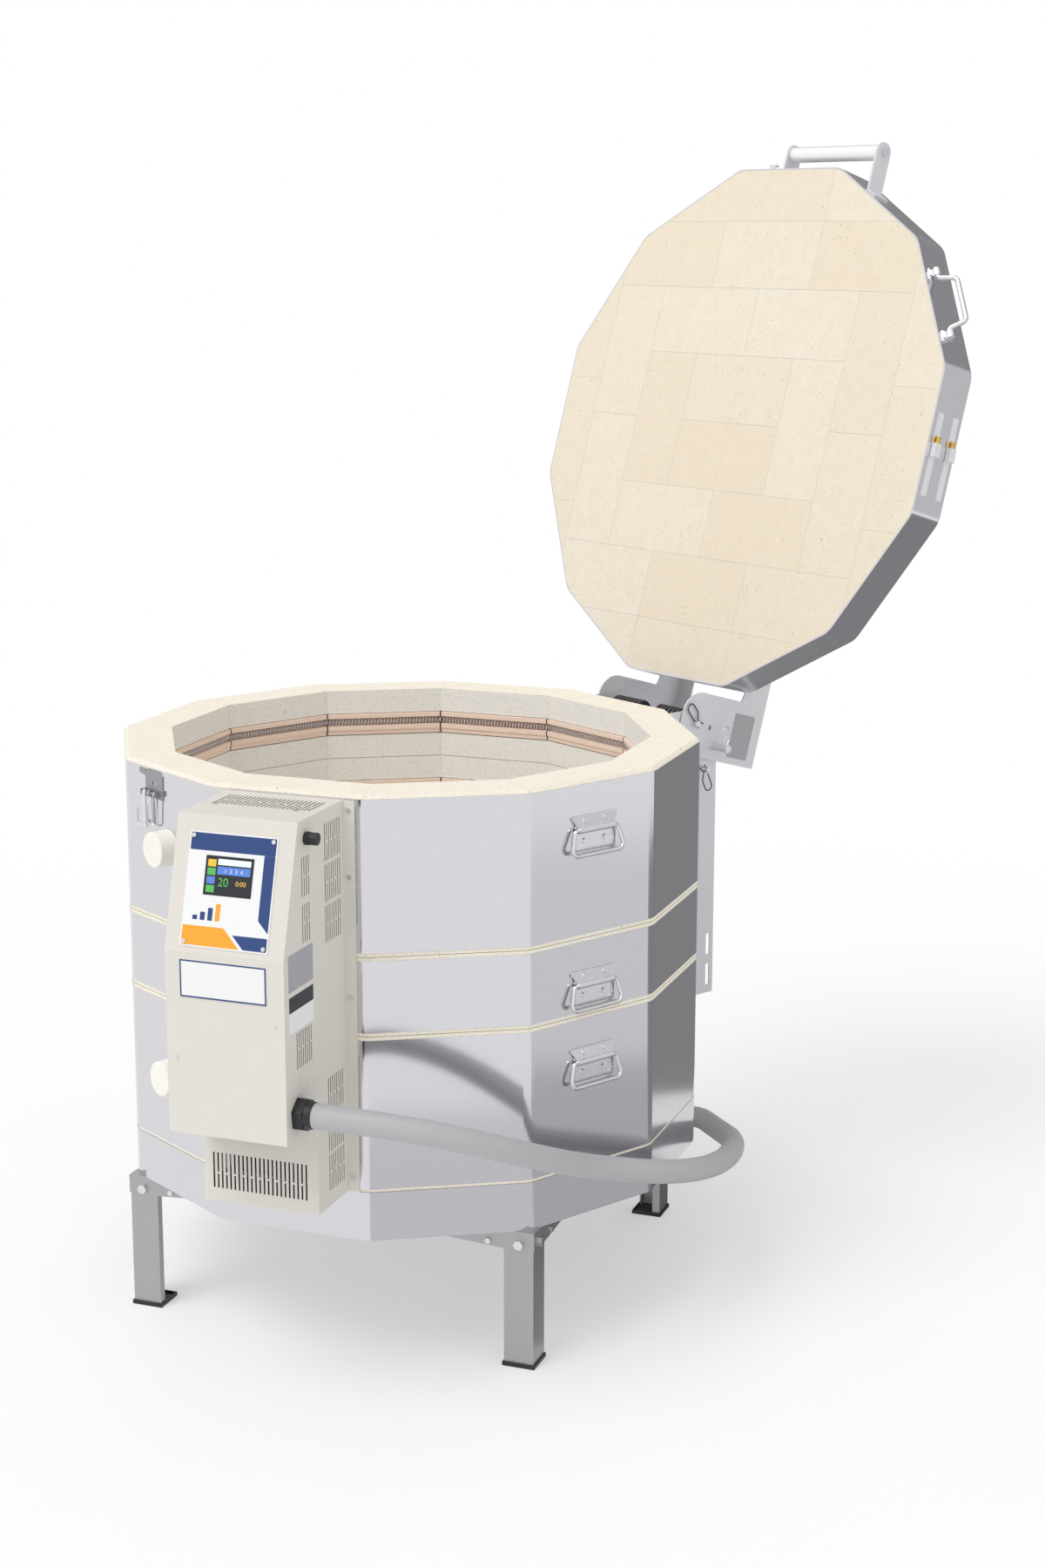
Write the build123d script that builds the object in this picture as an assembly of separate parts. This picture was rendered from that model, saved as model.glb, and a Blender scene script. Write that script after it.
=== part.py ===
from build123d import *
from math import atan2, ceil, cos, degrees, hypot, pi, radians, sin, sqrt, tan
import os

# A twelve-sided top-loading pottery kiln with a hinged lid, on a four-legged stand.
# Origin on the kiln's axis at floor level, +Z up, all sizes in mm.
# Facets are named by the angle of their outward normal, counted from +X towards +Y.

# Body
sides = 12
half_step = radians(180 / sides)
jacket_apothem = 430.2
jacket_thickness = 0.8
wall_thickness = 72.2
corner_radius = 35.0
course_height = 114.3
lower_courses = 2
middle_courses = 1
upper_courses = 2
seam_lip = 5.6
floor_lip = 4.5
rim_bevel = 5.0
stand_height = 208.0
pan_thickness = 1.0
floor_slab_height = 71.0

# Element holders and heating elements
holder_height = 36.0
holder_depth = 24.0
holder_flare = 2.0
holder_proud = 3.0
holder_play = 0.4
holder_lip = 7.5
channel_height = 13.0
channel_depth = 15.0
mitre_gap = 0.5
element_diameter = 11.0
element_corner_radius = 20.0
terminal_spacing = 50.0
terminal_diameter = 6.4
insulator_diameter = 14.0
insulator_bore = 6.8
hole_clearance = 0.4
sleeve_clearance = 0.2
seat_gap = 0.3
terminal_proud = 28.0

# Thermocouples
thermocouple_diameter = 10.0
thermocouple_tip = 25.0
thermocouple_head = 26.0
thermocouple_offset = 20.0

# Peephole plugs
peephole_facet = 240
peephole_heights = {"upper": 737.2, "lower": 394.3}
peephole_diameter = 30.0
plug_shank_diameter = 29.0
plug_head_diameter = 53.0
plug_head_length = 28.0
plug_shank_length = 82.0
plug_edge = 2.0

# Stand
leg_corner = 324.1
leg_web = 45.0
leg_lip = 12.5
leg_thickness = 2.5
bracket_thickness = 1.5
bracket_reach = 152.0
bracket_drop = 28.0
bracket_tip_drop = 21.0
foot_base = 3.0
foot_rim = 3.0
foot_wall = 2.0
foot_clearance = 0.2
stand_bolt_diameter = 8.0
stand_bolt_flats = 13.0
stand_bolt_head = 5.3
stand_bolt_inset = 23.0
stand_bolt_drop = 19.0
stand_screw_diameter = 5.0
stand_screw_flats = 8.0
stand_screw_head = 3.5
stand_screw_inset = 70.0

# Lid, described closed and then swung open about its hinge
lid_apothem = 432.5
lid_band_thickness = 0.8
lid_gap = 0.5
lid_brick_height = 63.5
lid_corner_radius = 40.0
lid_band_lip = 3.0
lid_band_rise = 1.5
lid_swing = 106.4
hinge_facet = 60
latch_facet = 240
pivot_out = 500.8
pivot_height = 817.9

# Hinge
channel_half_width = 101.0
channel_sheet = 1.5
channel_reach = 124.2
channel_corner_radius = 20.0
channel_bottom = 352.0
channel_top = 840.0
channel_slot_out = 112.0
channel_slot_length = 36.0
channel_slot_width = 7.5
channel_slot_heights = (384.0, 436.5)
rod_radius = 5.0
rod_running_clearance = 0.08
anchor_out = 12.2
anchor_down = 76.4
rod_overhang = 11.0
pivot_rod_tail = 13.0
anchor_rod_tail = 27.0
moving_rod_radius = 6.35
moving_rod_out = 29.4
moving_rod_up = 54.6
moving_rod_tail = 34.6
notch_clearance = 0.8
ear_gap = 1.5
ear_thickness = 2.5
ear_front = 449.0
ear_rear = 554.0
ear_bottom = 788.0
ear_top = 972.0
ear_arm_front = 252.0
ear_corner_radius = 38.0
ear_foot_width = 26.0
ear_flange_width = 32.0
ear_seat_gap = 0.4
ear_hole_out = 1.8
ear_hole_up = 36.2
ear_hole_diameter = 8.5

# Torsion springs round the pivot rod
spring_mean_radius = 17.0
spring_wire = 6.0
spring_pitch = 9.5
spring_turns = 7
spring_start = 21.0
spring_leg_overrun = 10.0
spring_touch = 0.3

# R-clips
clip_wire = 2.0
clip_hole = 2.4
rod_clip_insets = (6.0, 6.0)
rod_clip_facings = (36.0, 205.0)
moving_clip_inset = 14.0
moving_clip_facing = 104.0
far_clip_inset = 4.0

# Lid bar handle
bar_diameter = 25.4
bar_out = 463.0
bar_rise = 25.0
bar_left = -20.0
bar_right = 176.0
bar_bolt_diameter = 8.0
bar_bolt_clearance = 0.1
bar_bolt_overhang = 5.0
bar_end_gap = 0.3
bar_bracket_thickness = 4.0
bar_bracket_half_height = 16.0
bar_arm_root = 360.8
bar_foot_length = 24.0
bar_left_foot = 16.0
mount_gap = 0.2
bar_foot_thickness = 3.0

# Lid side bail
side_bail_facet = 300
side_bail_wire = 8.0
side_bail_rise = 22.0
side_bail_stub = 62.0
side_bail_neck = 45.5
side_bail_bar = 38.5
side_bail_reach = 28.0
side_bail_stand_off = 6.5
side_bail_raise = 36.0
side_clip_length = 12.0
side_clip_wall = 1.8
side_clip_half_height = 12.0

# Worm clamps
clamp_facet = 330
clamp_width = 12.0
clamp_strap = 0.9
clamp_left = -46.0
clamp_right = 84.0
clamp_housing_left = 2.0
clamp_housing_length = 21.0
clamp_housing_depth = 9.0
clamp_screw_diameter = 7.5
clamp_screw_length = 12.0
lid_clamp_rises = (15.0, 51.0)
jacket_clamp_facet = 150

# Latch strike on the lid, its foot a little above the lid's face
strike_offset = -65.0
strike_width = 14.0
strike_plate = 2.0
strike_height = 24.0
strike_reach = 15.0
strike_rise = 8.0
strike_tongue_drop = 8.0

# Draw latch on the upper jacket
latch_offset = -34.0
latch_width = 46.0
latch_top_drop = 7.5
latch_height = 41.0
latch_corner = 6.0
latch_plate = 1.5
keyhole_drop = 20.0
keyhole_radius = 4.0
latch_pin_drop = 33.0
latch_pin_out = 6.0
latch_pin_radius = 1.8
latch_pin_clearance = 0.08
latch_wire = 2.6
loop_pin = (-41.0, -19.0)
loop_centre = -30.0
loop_half_width = 7.5
loop_length = 48.0
lever_pin = (-58.0, -43.0)
lever_left = -55.0
lever_right = -46.0
lever_plate = 1.6
lever_length = 46.0
lever_arm_drop = 6.0
thumb_left = -71.0
thumb_height = 5.0
thumb_post = 20.0

# Chest handles
handle_facet = 330
handle_tops = {"upper": 802.0, "middle": 576.0, "lower": 462.0}
handle_plate = 1.5
handle_top_half = 43.0
handle_tube_half = 33.0
handle_back_half = 40.0
handle_back_length = 52.0
handle_lip_reach = 6.0
handle_pivot_down = 20.0
handle_pivot_out = 6.3
handle_slope = 20.0
handle_fold = 1.8
bail_wire = 6.0
bail_clearance = 0.1
bail_neck_half = 39.0
bail_foot_half = 49.0
bail_drop = 35.0
bail_lean_out = 5.7
bail_corner_radius = 9.0
rivet_half_spacing = 19.0
rivet_downs = (6.0, 36.5)
rivet_diameter = 8.0
rivet_height = 2.0

# Control box
box_left = -89.1
box_right = 85.9
box_top = 843.8
box_bend = 667.3
box_front = -621.7
box_top_front = -571.6
box_front_bottom = 412.9
box_split = -527.0
box_split_bottom = 398.0
box_base = 280.0
box_sheet = 1.5
box_flange = 17.0
flange_screw_heights = (300.0, 564.0, 736.0, 830.0)
panel_left = -67.0
panel_right = 62.0
panel_foot = 8.0
panel_head = 161.0
panel_plate = 1.5
panel_screw_diameter = 6.0
panel_screw_head = 2.0
panel_screw_inset = 6.0
screen_left = -40.0
screen_right = 30.0
screen_foot = 78.0
screen_head = 130.0
screen_proud = 0.6
screen_body = 14.0
screen_play = 0.2
name_left = -66.5
name_right = 60.5
name_foot = 605.4
name_head = 657.0
vent_slot = 2.6
vent_group_height = 52.0
vent_bridge = 3.0
fuse_y = -549.0
fuse_height = 817.7
fuse_collar_diameter = 18.0
fuse_collar_length = 6.0
fuse_cap_diameter = 17.0
fuse_cap_length = 11.5
fuse_stub_diameter = 11.0
fuse_gap = 0.3
gland_y = -586.0
gland_height = 447.5
gland_flats = 42.0
gland_turn = 22.3
gland_nut_length = 25.0
gland_stub_length = 12.0
gland_thread_diameter = 37.0
gland_locknut_flats = 46.0
gland_locknut_length = 6.0

# Power cord, from the gland round the kiln and down to the floor behind it
cord_diameter = 35.0
cord_start = (box_right + gland_nut_length, gland_y, gland_height)
cord_route = [
    cord_start,
    (219, gland_y, gland_height),
    (313, -537, 421),
    (379, -436, 369),
    (407, -304, 312),
    (487, -171, 265),
    (510, -5, 222),
    (492, 148, 199),
    (424, 261, 175),
    (349, 408, 138),
    (262, 505, 82),
    (145, 575, 36),
    (10, 600, 18),
    (-110, 596, 17.8),
]
power_plug_length = 70.0
power_plug_width = 56.0
power_plug_height = 34.0
power_blade_length = 18.0
power_blade_height = 8.0
power_blade_thickness = 1.8
power_blade_spacing = 25.0
power_pin_diameter = 5.5

# Derived heights and radii
floor_seam = stand_height + pan_thickness + floor_slab_height
seam_heights = [floor_seam]
for ring_courses in (lower_courses, middle_courses, upper_courses):
    seam_heights.append(seam_heights[-1] + ring_courses * course_height)
rim_height = seam_heights[-1]
brick_apothem = jacket_apothem - jacket_thickness
chamber_apothem = brick_apothem - wall_thickness
element_apothem = chamber_apothem + element_diameter / 2 + 0.5
lid_bottom = rim_height + lid_gap
lid_top = lid_bottom + lid_brick_height
lid_band_top = lid_top + lid_band_rise
bar_height = lid_bottom + bar_rise
side_bail_height = lid_bottom + side_bail_rise
strike_bottom = lid_bottom + strike_rise
latch_top = rim_height - latch_top_drop
keyhole_height = latch_top - keyhole_drop
latch_pin_height = latch_top - latch_pin_drop
lever_foot = latch_pin_height - lever_length

nodes = {}


def vector_at(angle):
    """Unit vector in the floor plane."""
    return Vector(cos(radians(angle)), sin(radians(angle)), 0)


def turned(shape, angle):
    """A copy turned about the kiln's axis."""
    return Rot(0, 0, angle) * shape


def on_facet(shape, angle, apothem=jacket_apothem):
    """Put a shape drawn with x to the right, y up and z outwards on a facet, y being height."""
    plane = Plane(origin=vector_at(angle) * apothem, x_dir=vector_at(angle + 90), z_dir=vector_at(angle))
    return plane.location * shape


def block(x0, x1, y0, y1, z0, z1):
    """A box between two opposite corners."""
    centre = Pos((x0 + x1) / 2, (y0 + y1) / 2, (z0 + z1) / 2)
    return centre * Box(abs(x1 - x0), abs(y1 - y0), abs(z1 - z0))


def plate(points, plane, thickness, radii=()):
    """A polygon in a plane, extruded along its normal; radii round chosen corners by index."""
    face = make_face(plane * Polyline(*points, close=True))
    for index, radius in radii:
        corner = plane.from_local_coords(points[index])
        nearest = min(face.vertices(), key=lambda vertex: (Vector(vertex) - corner).length)
        face = fillet([nearest], radius)
    return extrude(face, amount=thickness, dir=plane.z_dir)


def rod(start, end, radius):
    """A round bar between two points."""
    start, end = Vector(start), Vector(end)
    plane = Plane(origin=start, z_dir=(end - start).normalized())
    return extrude(plane * Circle(radius), amount=(end - start).length)


def bent_wire(points, radii, radius):
    """A round wire along straight runs joined by tangent arcs."""
    path = FilletPolyline(*points, radius=radii)
    return sweep(Plane(origin=path @ 0, z_dir=path % 0) * Circle(radius), path=path)


def hexagon(plane, flats, length):
    """A hexagonal prism that stands on a plane."""
    return extrude(plane * RegularPolygon(flats / 2, 6, major_radius=False), amount=length)


def polygon_ring(outer, inner, z0, z1, outer_radius=0.0, inner_radius=0.0):
    """A twelve-sided ring or, with no inner apothem, a slab; corners may be rounded."""
    faces = []
    for apothem, radius in ((outer, outer_radius), (inner, inner_radius)):
        if not apothem:
            continue
        face = make_face(RegularPolygon(apothem, sides, major_radius=False, rotation=15).wire())
        if radius:
            face = fillet(face.vertices(), radius)
        faces.append(extrude(Pos(0, 0, z0) * face, amount=z1 - z0))
    return faces[0] - faces[1] if len(faces) == 2 else faces[0]


def wedge(z0, z1, gap=0.0):
    """The sector that belongs to the facet at 0 degrees, narrowed by half a gap on each side."""
    reach = 2 * jacket_apothem
    tip = gap / 2 / sin(half_step)
    wide = (reach - tip) * tan(half_step)
    return plate([(tip, 0), (reach, -wide), (reach, wide)], Plane.XY.offset(z0), z1 - z0)


def profile_bar(points, half_length):
    """A section drawn as (distance from the axis, height), extruded along the facet at 0 degrees."""
    return plate(points, Plane.XZ.offset(-half_length), 2 * half_length)


def course_centres():
    """Height of the middle of each course, from the floor of the chamber up."""
    count = lower_courses + middle_courses + upper_courses
    return [floor_seam + (index + 0.5) * course_height for index in range(count)]


def wall_hole(angle, offset, height, radius, start=chamber_apothem - 20, end=jacket_apothem + 20):
    """A round cutter through the wall, square to a facet."""
    along = vector_at(angle + 90) * offset
    return rod(vector_at(angle) * start + along + Vector(0, 0, height),
               vector_at(angle) * end + along + Vector(0, 0, height), radius)


# Holes through the wall: peepholes, element terminals and thermocouples
thermocouple_heights = (floor_seam + 1.0 * course_height + thermocouple_offset,
                        seam_heights[1] + thermocouple_offset,
                        rim_height - course_height + thermocouple_offset)


def wall_cutters(extra=0.0):
    """Every hole through the wall, keyed by the facet that it belongs to."""
    cutters = {peephole_facet: [], 270: []}
    for height in peephole_heights.values():
        cutters[peephole_facet].append(wall_hole(peephole_facet, 0, height, peephole_diameter / 2))
    for height in course_centres():
        for side in (-1, 1):
            cutters[270].append(wall_hole(270, side * terminal_spacing / 2, element_height(height),
                                          insulator_diameter / 2 + sleeve_clearance + extra,
                                          start=element_apothem))
    for height in thermocouple_heights:
        cutters[270].append(wall_hole(270, 0, height, thermocouple_diameter / 2 + sleeve_clearance + extra))
    return cutters


def element_height(course_centre):
    """Height of the coil in the holder of a course."""
    return course_centre + holder_height / 2 - holder_lip - channel_height + element_diameter / 2 + seat_gap


# Brick wall: each course is twelve mitred bricks, grooved for an element holder
def brick_ring(bottom, courses, is_top):
    outline = polygon_ring(brick_apothem, chamber_apothem, bottom, bottom + course_height,
                           corner_radius - jacket_thickness)
    half_groove = holder_height / 2 + holder_play
    deep = chamber_apothem + holder_depth + holder_play
    bricks = []
    for course in range(courses):
        base = bottom + course * course_height
        middle = base + course_height / 2
        brick = Pos(0, 0, base - bottom) * outline & wedge(base, base + course_height)
        groove = profile_bar([(chamber_apothem - 5, middle - half_groove),
                              (deep, middle - half_groove - holder_flare),
                              (deep, middle + half_groove + holder_flare),
                              (chamber_apothem - 5, middle + half_groove)], jacket_apothem / 2)
        brick = brick - groove
        if is_top and course == courses - 1:
            top = base + course_height
            edge = profile_bar([(brick_apothem - rim_bevel, top), (brick_apothem, top - rim_bevel),
                                (brick_apothem + 30, top - rim_bevel), (brick_apothem + 30, top + 1),
                                (brick_apothem - rim_bevel, top + 1)], jacket_apothem / 2)
            brick = brick - edge
        for index in range(sides):
            angle = index * 360 / sides
            piece = turned(brick, angle)
            for cutter in wall_cutters().get(angle, []):
                if piece.bounding_box().max.Z > cutter.bounding_box().min.Z:
                    if piece.bounding_box().min.Z < cutter.bounding_box().max.Z:
                        piece = piece - cutter
            bricks += piece.solids()
    return bricks


ring_names = ("lower", "middle", "upper")
ring_counts = (lower_courses, middle_courses, upper_courses)
for ring, name in enumerate(ring_names):
    nodes[f"bricks_{name}"] = brick_ring(seam_heights[ring], ring_counts[ring], name == "upper")


# Jackets: folded stainless sheet round each section, short of the seams
def jacket(bottom, top):
    sheet = polygon_ring(jacket_apothem, brick_apothem, bottom, top,
                         corner_radius, corner_radius - jacket_thickness)
    for cutters in wall_cutters(extra=1.0).values():
        for cutter in cutters:
            if bottom - 20 < cutter.center().Z < top + 20:
                sheet = sheet - cutter
    return sheet.solids()


for ring, name in enumerate(ring_names):
    lower_lip = floor_lip if ring == 0 else seam_lip
    nodes[f"jacket_{name}"] = jacket(seam_heights[ring] + lower_lip, seam_heights[ring + 1] - seam_lip)


# Element holders: ceramic channels in the grooves, mitred at the corners
def holder_section(middle):
    face_plane = chamber_apothem - holder_proud
    half = holder_height / 2
    back = chamber_apothem + holder_depth
    slot_top = middle + half - holder_lip
    slot_bottom = slot_top - channel_height
    step = slot_bottom - 7.0
    floor_of_channel = chamber_apothem + channel_depth
    return [(face_plane, middle + half - 1), (face_plane, slot_top), (floor_of_channel - 4, slot_top),
            (floor_of_channel, slot_top - 3), (floor_of_channel, slot_bottom + 3),
            (floor_of_channel - 4, slot_bottom), (face_plane, slot_bottom), (face_plane, step),
            (face_plane + 2, step), (face_plane + 2, middle - half + 1),
            (chamber_apothem, middle - half + 0.5), (back, middle - half - holder_flare + 0.5),
            (back, middle + half + holder_flare - 0.5), (chamber_apothem, middle + half - 0.5)]


def holders():
    pieces = []
    for middle in course_centres():
        bar = profile_bar(holder_section(middle), jacket_apothem / 2)
        holder = bar & wedge(middle - holder_height, middle + holder_height, mitre_gap)
        for index in range(sides):
            angle = index * 360 / sides
            piece = turned(holder, angle)
            if angle == 270:
                for side in (-1, 1):
                    piece = piece - wall_hole(270, side * terminal_spacing / 2, element_height(middle),
                                              terminal_diameter / 2 + 1.0)
            pieces += piece.solids()
    return pieces


nodes["element_holders"] = holders()


# Heating elements: one round coil per course, its ends beside the terminals of facet 270
def element(height):
    corner = element_apothem / cos(half_step)
    points = [Vector(terminal_spacing / 2, -element_apothem, height)]
    for index in range(sides):
        points.append(vector_at(285 + index * 360 / sides) * corner + Vector(0, 0, height))
    points.append(Vector(-terminal_spacing / 2, -element_apothem, height))
    return bent_wire(points, element_corner_radius, element_diameter / 2)


nodes["heating_elements"] = [element(element_height(middle)) for middle in course_centres()]

# Terminals: a pin from each element end through a ceramic insulator into the control box
terminals = []
insulators = []
for middle in course_centres():
    for side in (-1, 1):
        inner = element_apothem + element_diameter / 2
        outer = jacket_apothem + terminal_proud
        height = element_height(middle)
        terminals.append(wall_hole(270, side * terminal_spacing / 2, height, terminal_diameter / 2,
                                   start=inner, end=outer))
        back = chamber_apothem + holder_depth + 1
        sleeve = [wall_hole(270, side * terminal_spacing / 2, height, radius / 2,
                            start=back, end=jacket_apothem + 12)
                  for radius in (insulator_diameter, insulator_bore)]
        insulators.append(sleeve[0] - sleeve[1])
nodes["element_terminals"] = terminals
nodes["terminal_insulators"] = insulators

# Thermocouples: ceramic tubes through the wall, each with a terminal head in the control box
thermocouples = []
for height in thermocouple_heights:
    tube = wall_hole(270, 0, height, thermocouple_diameter / 2,
                     start=chamber_apothem - thermocouple_tip, end=jacket_apothem + 8)
    head_start = -jacket_apothem - 8
    half = thermocouple_head / 2
    head = block(-half, half, head_start, head_start - 14, height - half, height + half)
    thermocouples.append(tube + head)
nodes["thermocouples"] = thermocouples

# Floor slab in its sheet pan
nodes["floor_slab"] = [polygon_ring(brick_apothem, 0, stand_height + pan_thickness, floor_seam,
                                    corner_radius - jacket_thickness)]
pan_band = polygon_ring(jacket_apothem, brick_apothem, stand_height, floor_seam,
                        corner_radius, corner_radius - jacket_thickness)
pan_floor = polygon_ring(jacket_apothem, 0, stand_height, stand_height + pan_thickness, corner_radius)
nodes["floor_pan"] = [pan_band + pan_floor]

# Worm clamps that tighten the jackets, on the side away from the handles
clamp_centres = [(seam_heights[0] + seam_heights[1]) / 2 - 80, (seam_heights[0] + seam_heights[1]) / 2 + 80,
                 (seam_heights[1] + seam_heights[2]) / 2,
                 (seam_heights[2] + seam_heights[3]) / 2 - 80, (seam_heights[2] + seam_heights[3]) / 2 + 80]


def worm_clamp(height):
    """Strap, housing and screw in facet coordinates, lying on the facet."""
    strap = block(clamp_left, clamp_right, height - clamp_width / 2, height + clamp_width / 2,
                  0, clamp_strap)
    housing = block(clamp_housing_left, clamp_housing_left + clamp_housing_length,
                    height - clamp_width / 2 - 1, height + clamp_width / 2 + 1,
                    clamp_strap, clamp_housing_depth)
    middle = (clamp_strap + clamp_housing_depth) / 2 + 0.3
    screw = rod((clamp_housing_left - clamp_screw_length, height, middle),
                (clamp_housing_left, height, middle), clamp_screw_diameter / 2)
    return [strap + housing, screw]


nodes["jacket_clamps"] = [on_facet(piece, jacket_clamp_facet)
                          for height in clamp_centres for piece in worm_clamp(height)]


# Stand: a folded leg under each corner, its foot cap and the corner bracket above it
bracket_face = leg_corner + bracket_thickness
leg_top = stand_height - bracket_thickness


def leg():
    c, w, t, lip = leg_corner, leg_web, leg_thickness, leg_lip
    outline = [(c, c), (c - w, c), (c - w, c - lip), (c - w + t, c - lip), (c - w + t, c - t),
               (c - t, c - t), (c - t, c - w + t), (c - lip, c - w + t), (c - lip, c - w), (c, c - w)]
    return plate(outline, Plane.XY.offset(foot_base), leg_top - foot_base)


def foot_cap():
    inner_low = leg_corner - leg_web - foot_clearance
    inner_high = leg_corner + foot_clearance
    low, high = inner_low - foot_wall, inner_high + foot_wall
    body = block(low, high, low, high, 0, foot_base + foot_rim)
    return body - block(inner_low, inner_high, inner_low, inner_high, foot_base, foot_base + foot_rim)


def bracket():
    tip = bracket_face - bracket_reach
    t = bracket_thickness
    top = plate([(bracket_face, bracket_face), (tip, bracket_face), (bracket_face, tip)],
                Plane.XY.offset(leg_top), t)
    flange = plate([(tip, stand_height), (tip, stand_height - bracket_tip_drop),
                    (bracket_face - leg_web, stand_height - bracket_drop),
                    (bracket_face, stand_height - bracket_drop), (bracket_face, stand_height)],
                   Plane.XZ.offset(-bracket_face), t)
    other = plate([(tip, stand_height), (tip, stand_height - bracket_tip_drop),
                   (bracket_face - leg_web, stand_height - bracket_drop),
                   (bracket_face, stand_height - bracket_drop), (bracket_face, stand_height)],
                  Plane(origin=(bracket_face - t, 0, 0), x_dir=(0, 1, 0), z_dir=(1, 0, 0)), t)
    return top + flange + other


def outer_face_plane(inset, drop, out=0.0):
    """A plane on the bracket's +Y face, facing outwards, at a bolt."""
    return Plane(origin=(bracket_face - inset, bracket_face + out, stand_height - drop),
                 x_dir=(-1, 0, 0), z_dir=(0, 1, 0))


def stand_bolt(inset, drop, diameter, flats, head, grip, nut):
    """Hex head outside, shank through the sheet, hex nut inside."""
    outside = outer_face_plane(inset, drop)
    inside = outer_face_plane(inset, drop, -grip)
    shank = extrude(outside * Circle(diameter / 2), amount=-grip)
    bolt = hexagon(outside, flats, head) + shank
    return bolt + hexagon(inside, flats, -nut)


bolt_sets = [(stand_bolt_inset, stand_bolt_drop, stand_bolt_diameter, stand_bolt_flats,
              stand_bolt_head, bracket_thickness + leg_thickness, 5.0),
             (stand_screw_inset, stand_bolt_drop, stand_screw_diameter, stand_screw_flats,
              stand_screw_head, bracket_thickness, 3.5)]
diagonal = Plane(origin=(0, 0, 0), z_dir=(1, -1, 0))
corner_leg = leg()
corner_bracket = bracket()
corner_bolts = []
for inset, drop, diameter, flats, head, grip, nut in bolt_sets:
    bore = extrude(outer_face_plane(inset, drop, 1) * Circle(diameter / 2 + hole_clearance), amount=-20)
    bolt = stand_bolt(inset, drop, diameter, flats, head, grip, nut)
    mirrored = (mirror(bore, about=diagonal), mirror(bolt, about=diagonal))
    for bore_copy, bolt_copy in ((bore, bolt), mirrored):
        corner_leg = corner_leg - bore_copy
        corner_bracket = corner_bracket - bore_copy
        corner_bolts.append(bolt_copy)

leg_names = {0: "leg_rear_right", 90: "leg_rear_left", 180: "leg_front_left", 270: "leg_front_right"}
for angle, name in leg_names.items():
    nodes[name] = [turned(corner_leg, angle)]
nodes["foot_caps"] = [turned(foot_cap(), angle) for angle in leg_names]
nodes["stand_brackets"] = [turned(corner_bracket, angle) for angle in leg_names]
fasteners = [turned(bolt, angle) for angle in leg_names for bolt in corner_bolts]


# Peephole plugs: a round head outside, a shank through the brick
def peephole_plug(height):
    head = extrude(Circle(plug_head_diameter / 2), amount=plug_head_length, taper=1.5)
    head = fillet(head.edges().group_by(Axis.Z)[-1], plug_edge)
    shank = extrude(Circle(plug_shank_diameter / 2), amount=-plug_shank_length)
    return on_facet(Pos(0, height, seat_gap) * (head + shank), peephole_facet)


for name, height in peephole_heights.items():
    nodes[f"peephole_plug_{name}"] = [peephole_plug(height)]


# Chest handles: back plate with a curled foot, sloped top plate rolled round the bail, wire bail
def across(start, end, height, out, radius):
    """A round bar parallel to the facet and level, in facet coordinates."""
    return rod((start, height, out), (end, height, out), radius)


def side_plane(x):
    """Plane of a side profile in facet coordinates: x is the height, y the distance out."""
    return Plane(origin=(x, 0, 0), x_dir=(0, 1, 0), z_dir=(1, 0, 0))


def handle_slope_plane(top):
    """The underside of the sloped top plate, x to the right and y up the slope."""
    return Plane(origin=(0, top - handle_fold, handle_plate / 3), x_dir=(1, 0, 0),
                 z_dir=(0, sin(radians(handle_slope)), cos(radians(handle_slope))))


def handle_plate_pair(top):
    foot = top - handle_back_length
    axis_y = top - handle_pivot_down
    back = plate([(top, 0), (top, handle_plate), (foot + 0.5, handle_plate), (foot - 1, handle_lip_reach),
                  (foot - 2.5, handle_lip_reach), (foot - 1.2, 0)], side_plane(-handle_back_half),
                 2 * handle_back_half)
    tube = across(-handle_tube_half, handle_tube_half, axis_y, handle_pivot_out,
                  bail_wire / 2 + bail_clearance + handle_plate)
    awning = plate([(-handle_top_half, 0), (handle_top_half, 0), (handle_tube_half, -17),
                    (-handle_tube_half, -17)], handle_slope_plane(top), handle_plate)
    body = back + tube + awning
    for x in (-handle_tube_half, handle_tube_half - handle_plate):
        body = body + plate([(top - 4, 1), (axis_y - 1, 1), (axis_y, handle_pivot_out),
                             (top - 16, handle_pivot_out)], side_plane(x), handle_plate)
    return body - across(-60, 60, axis_y, handle_pivot_out, bail_wire / 2 + bail_clearance)


def handle_bail(top):
    axis_y = top - handle_pivot_down
    foot_y = axis_y - bail_drop
    foot_out = handle_pivot_out + bail_lean_out
    side = [(12, axis_y, handle_pivot_out), (bail_neck_half, axis_y, handle_pivot_out),
            (bail_foot_half, foot_y, foot_out)]
    points = side + [(-x, y, z) for x, y, z in reversed(side)]
    radii = [6.0, bail_corner_radius, bail_corner_radius, 6.0]
    return bent_wire(points, radii, bail_wire / 2)


def rivets(top):
    """Two rivets through the sloped top and two through the back plate below the bail."""
    slope = handle_slope_plane(top).offset(handle_plate)
    back = Plane(origin=(0, top, handle_plate))
    heads = []
    for plane, down in zip((slope, back), rivet_downs):
        for side in (-1, 1):
            place = plane.location * Pos(side * rivet_half_spacing, -down, 0)
            heads.append(place * extrude(Circle(rivet_diameter / 2), amount=rivet_height, taper=25))
    return heads


handle_plates = []
for name, top in handle_tops.items():
    handle_plates.append(on_facet(handle_plate_pair(top), handle_facet))
    nodes[f"handle_bail_{name}"] = [on_facet(handle_bail(top), handle_facet)]
    fasteners += [on_facet(rivet, handle_facet) for rivet in rivets(top)]
nodes["handle_plates"] = handle_plates


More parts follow.
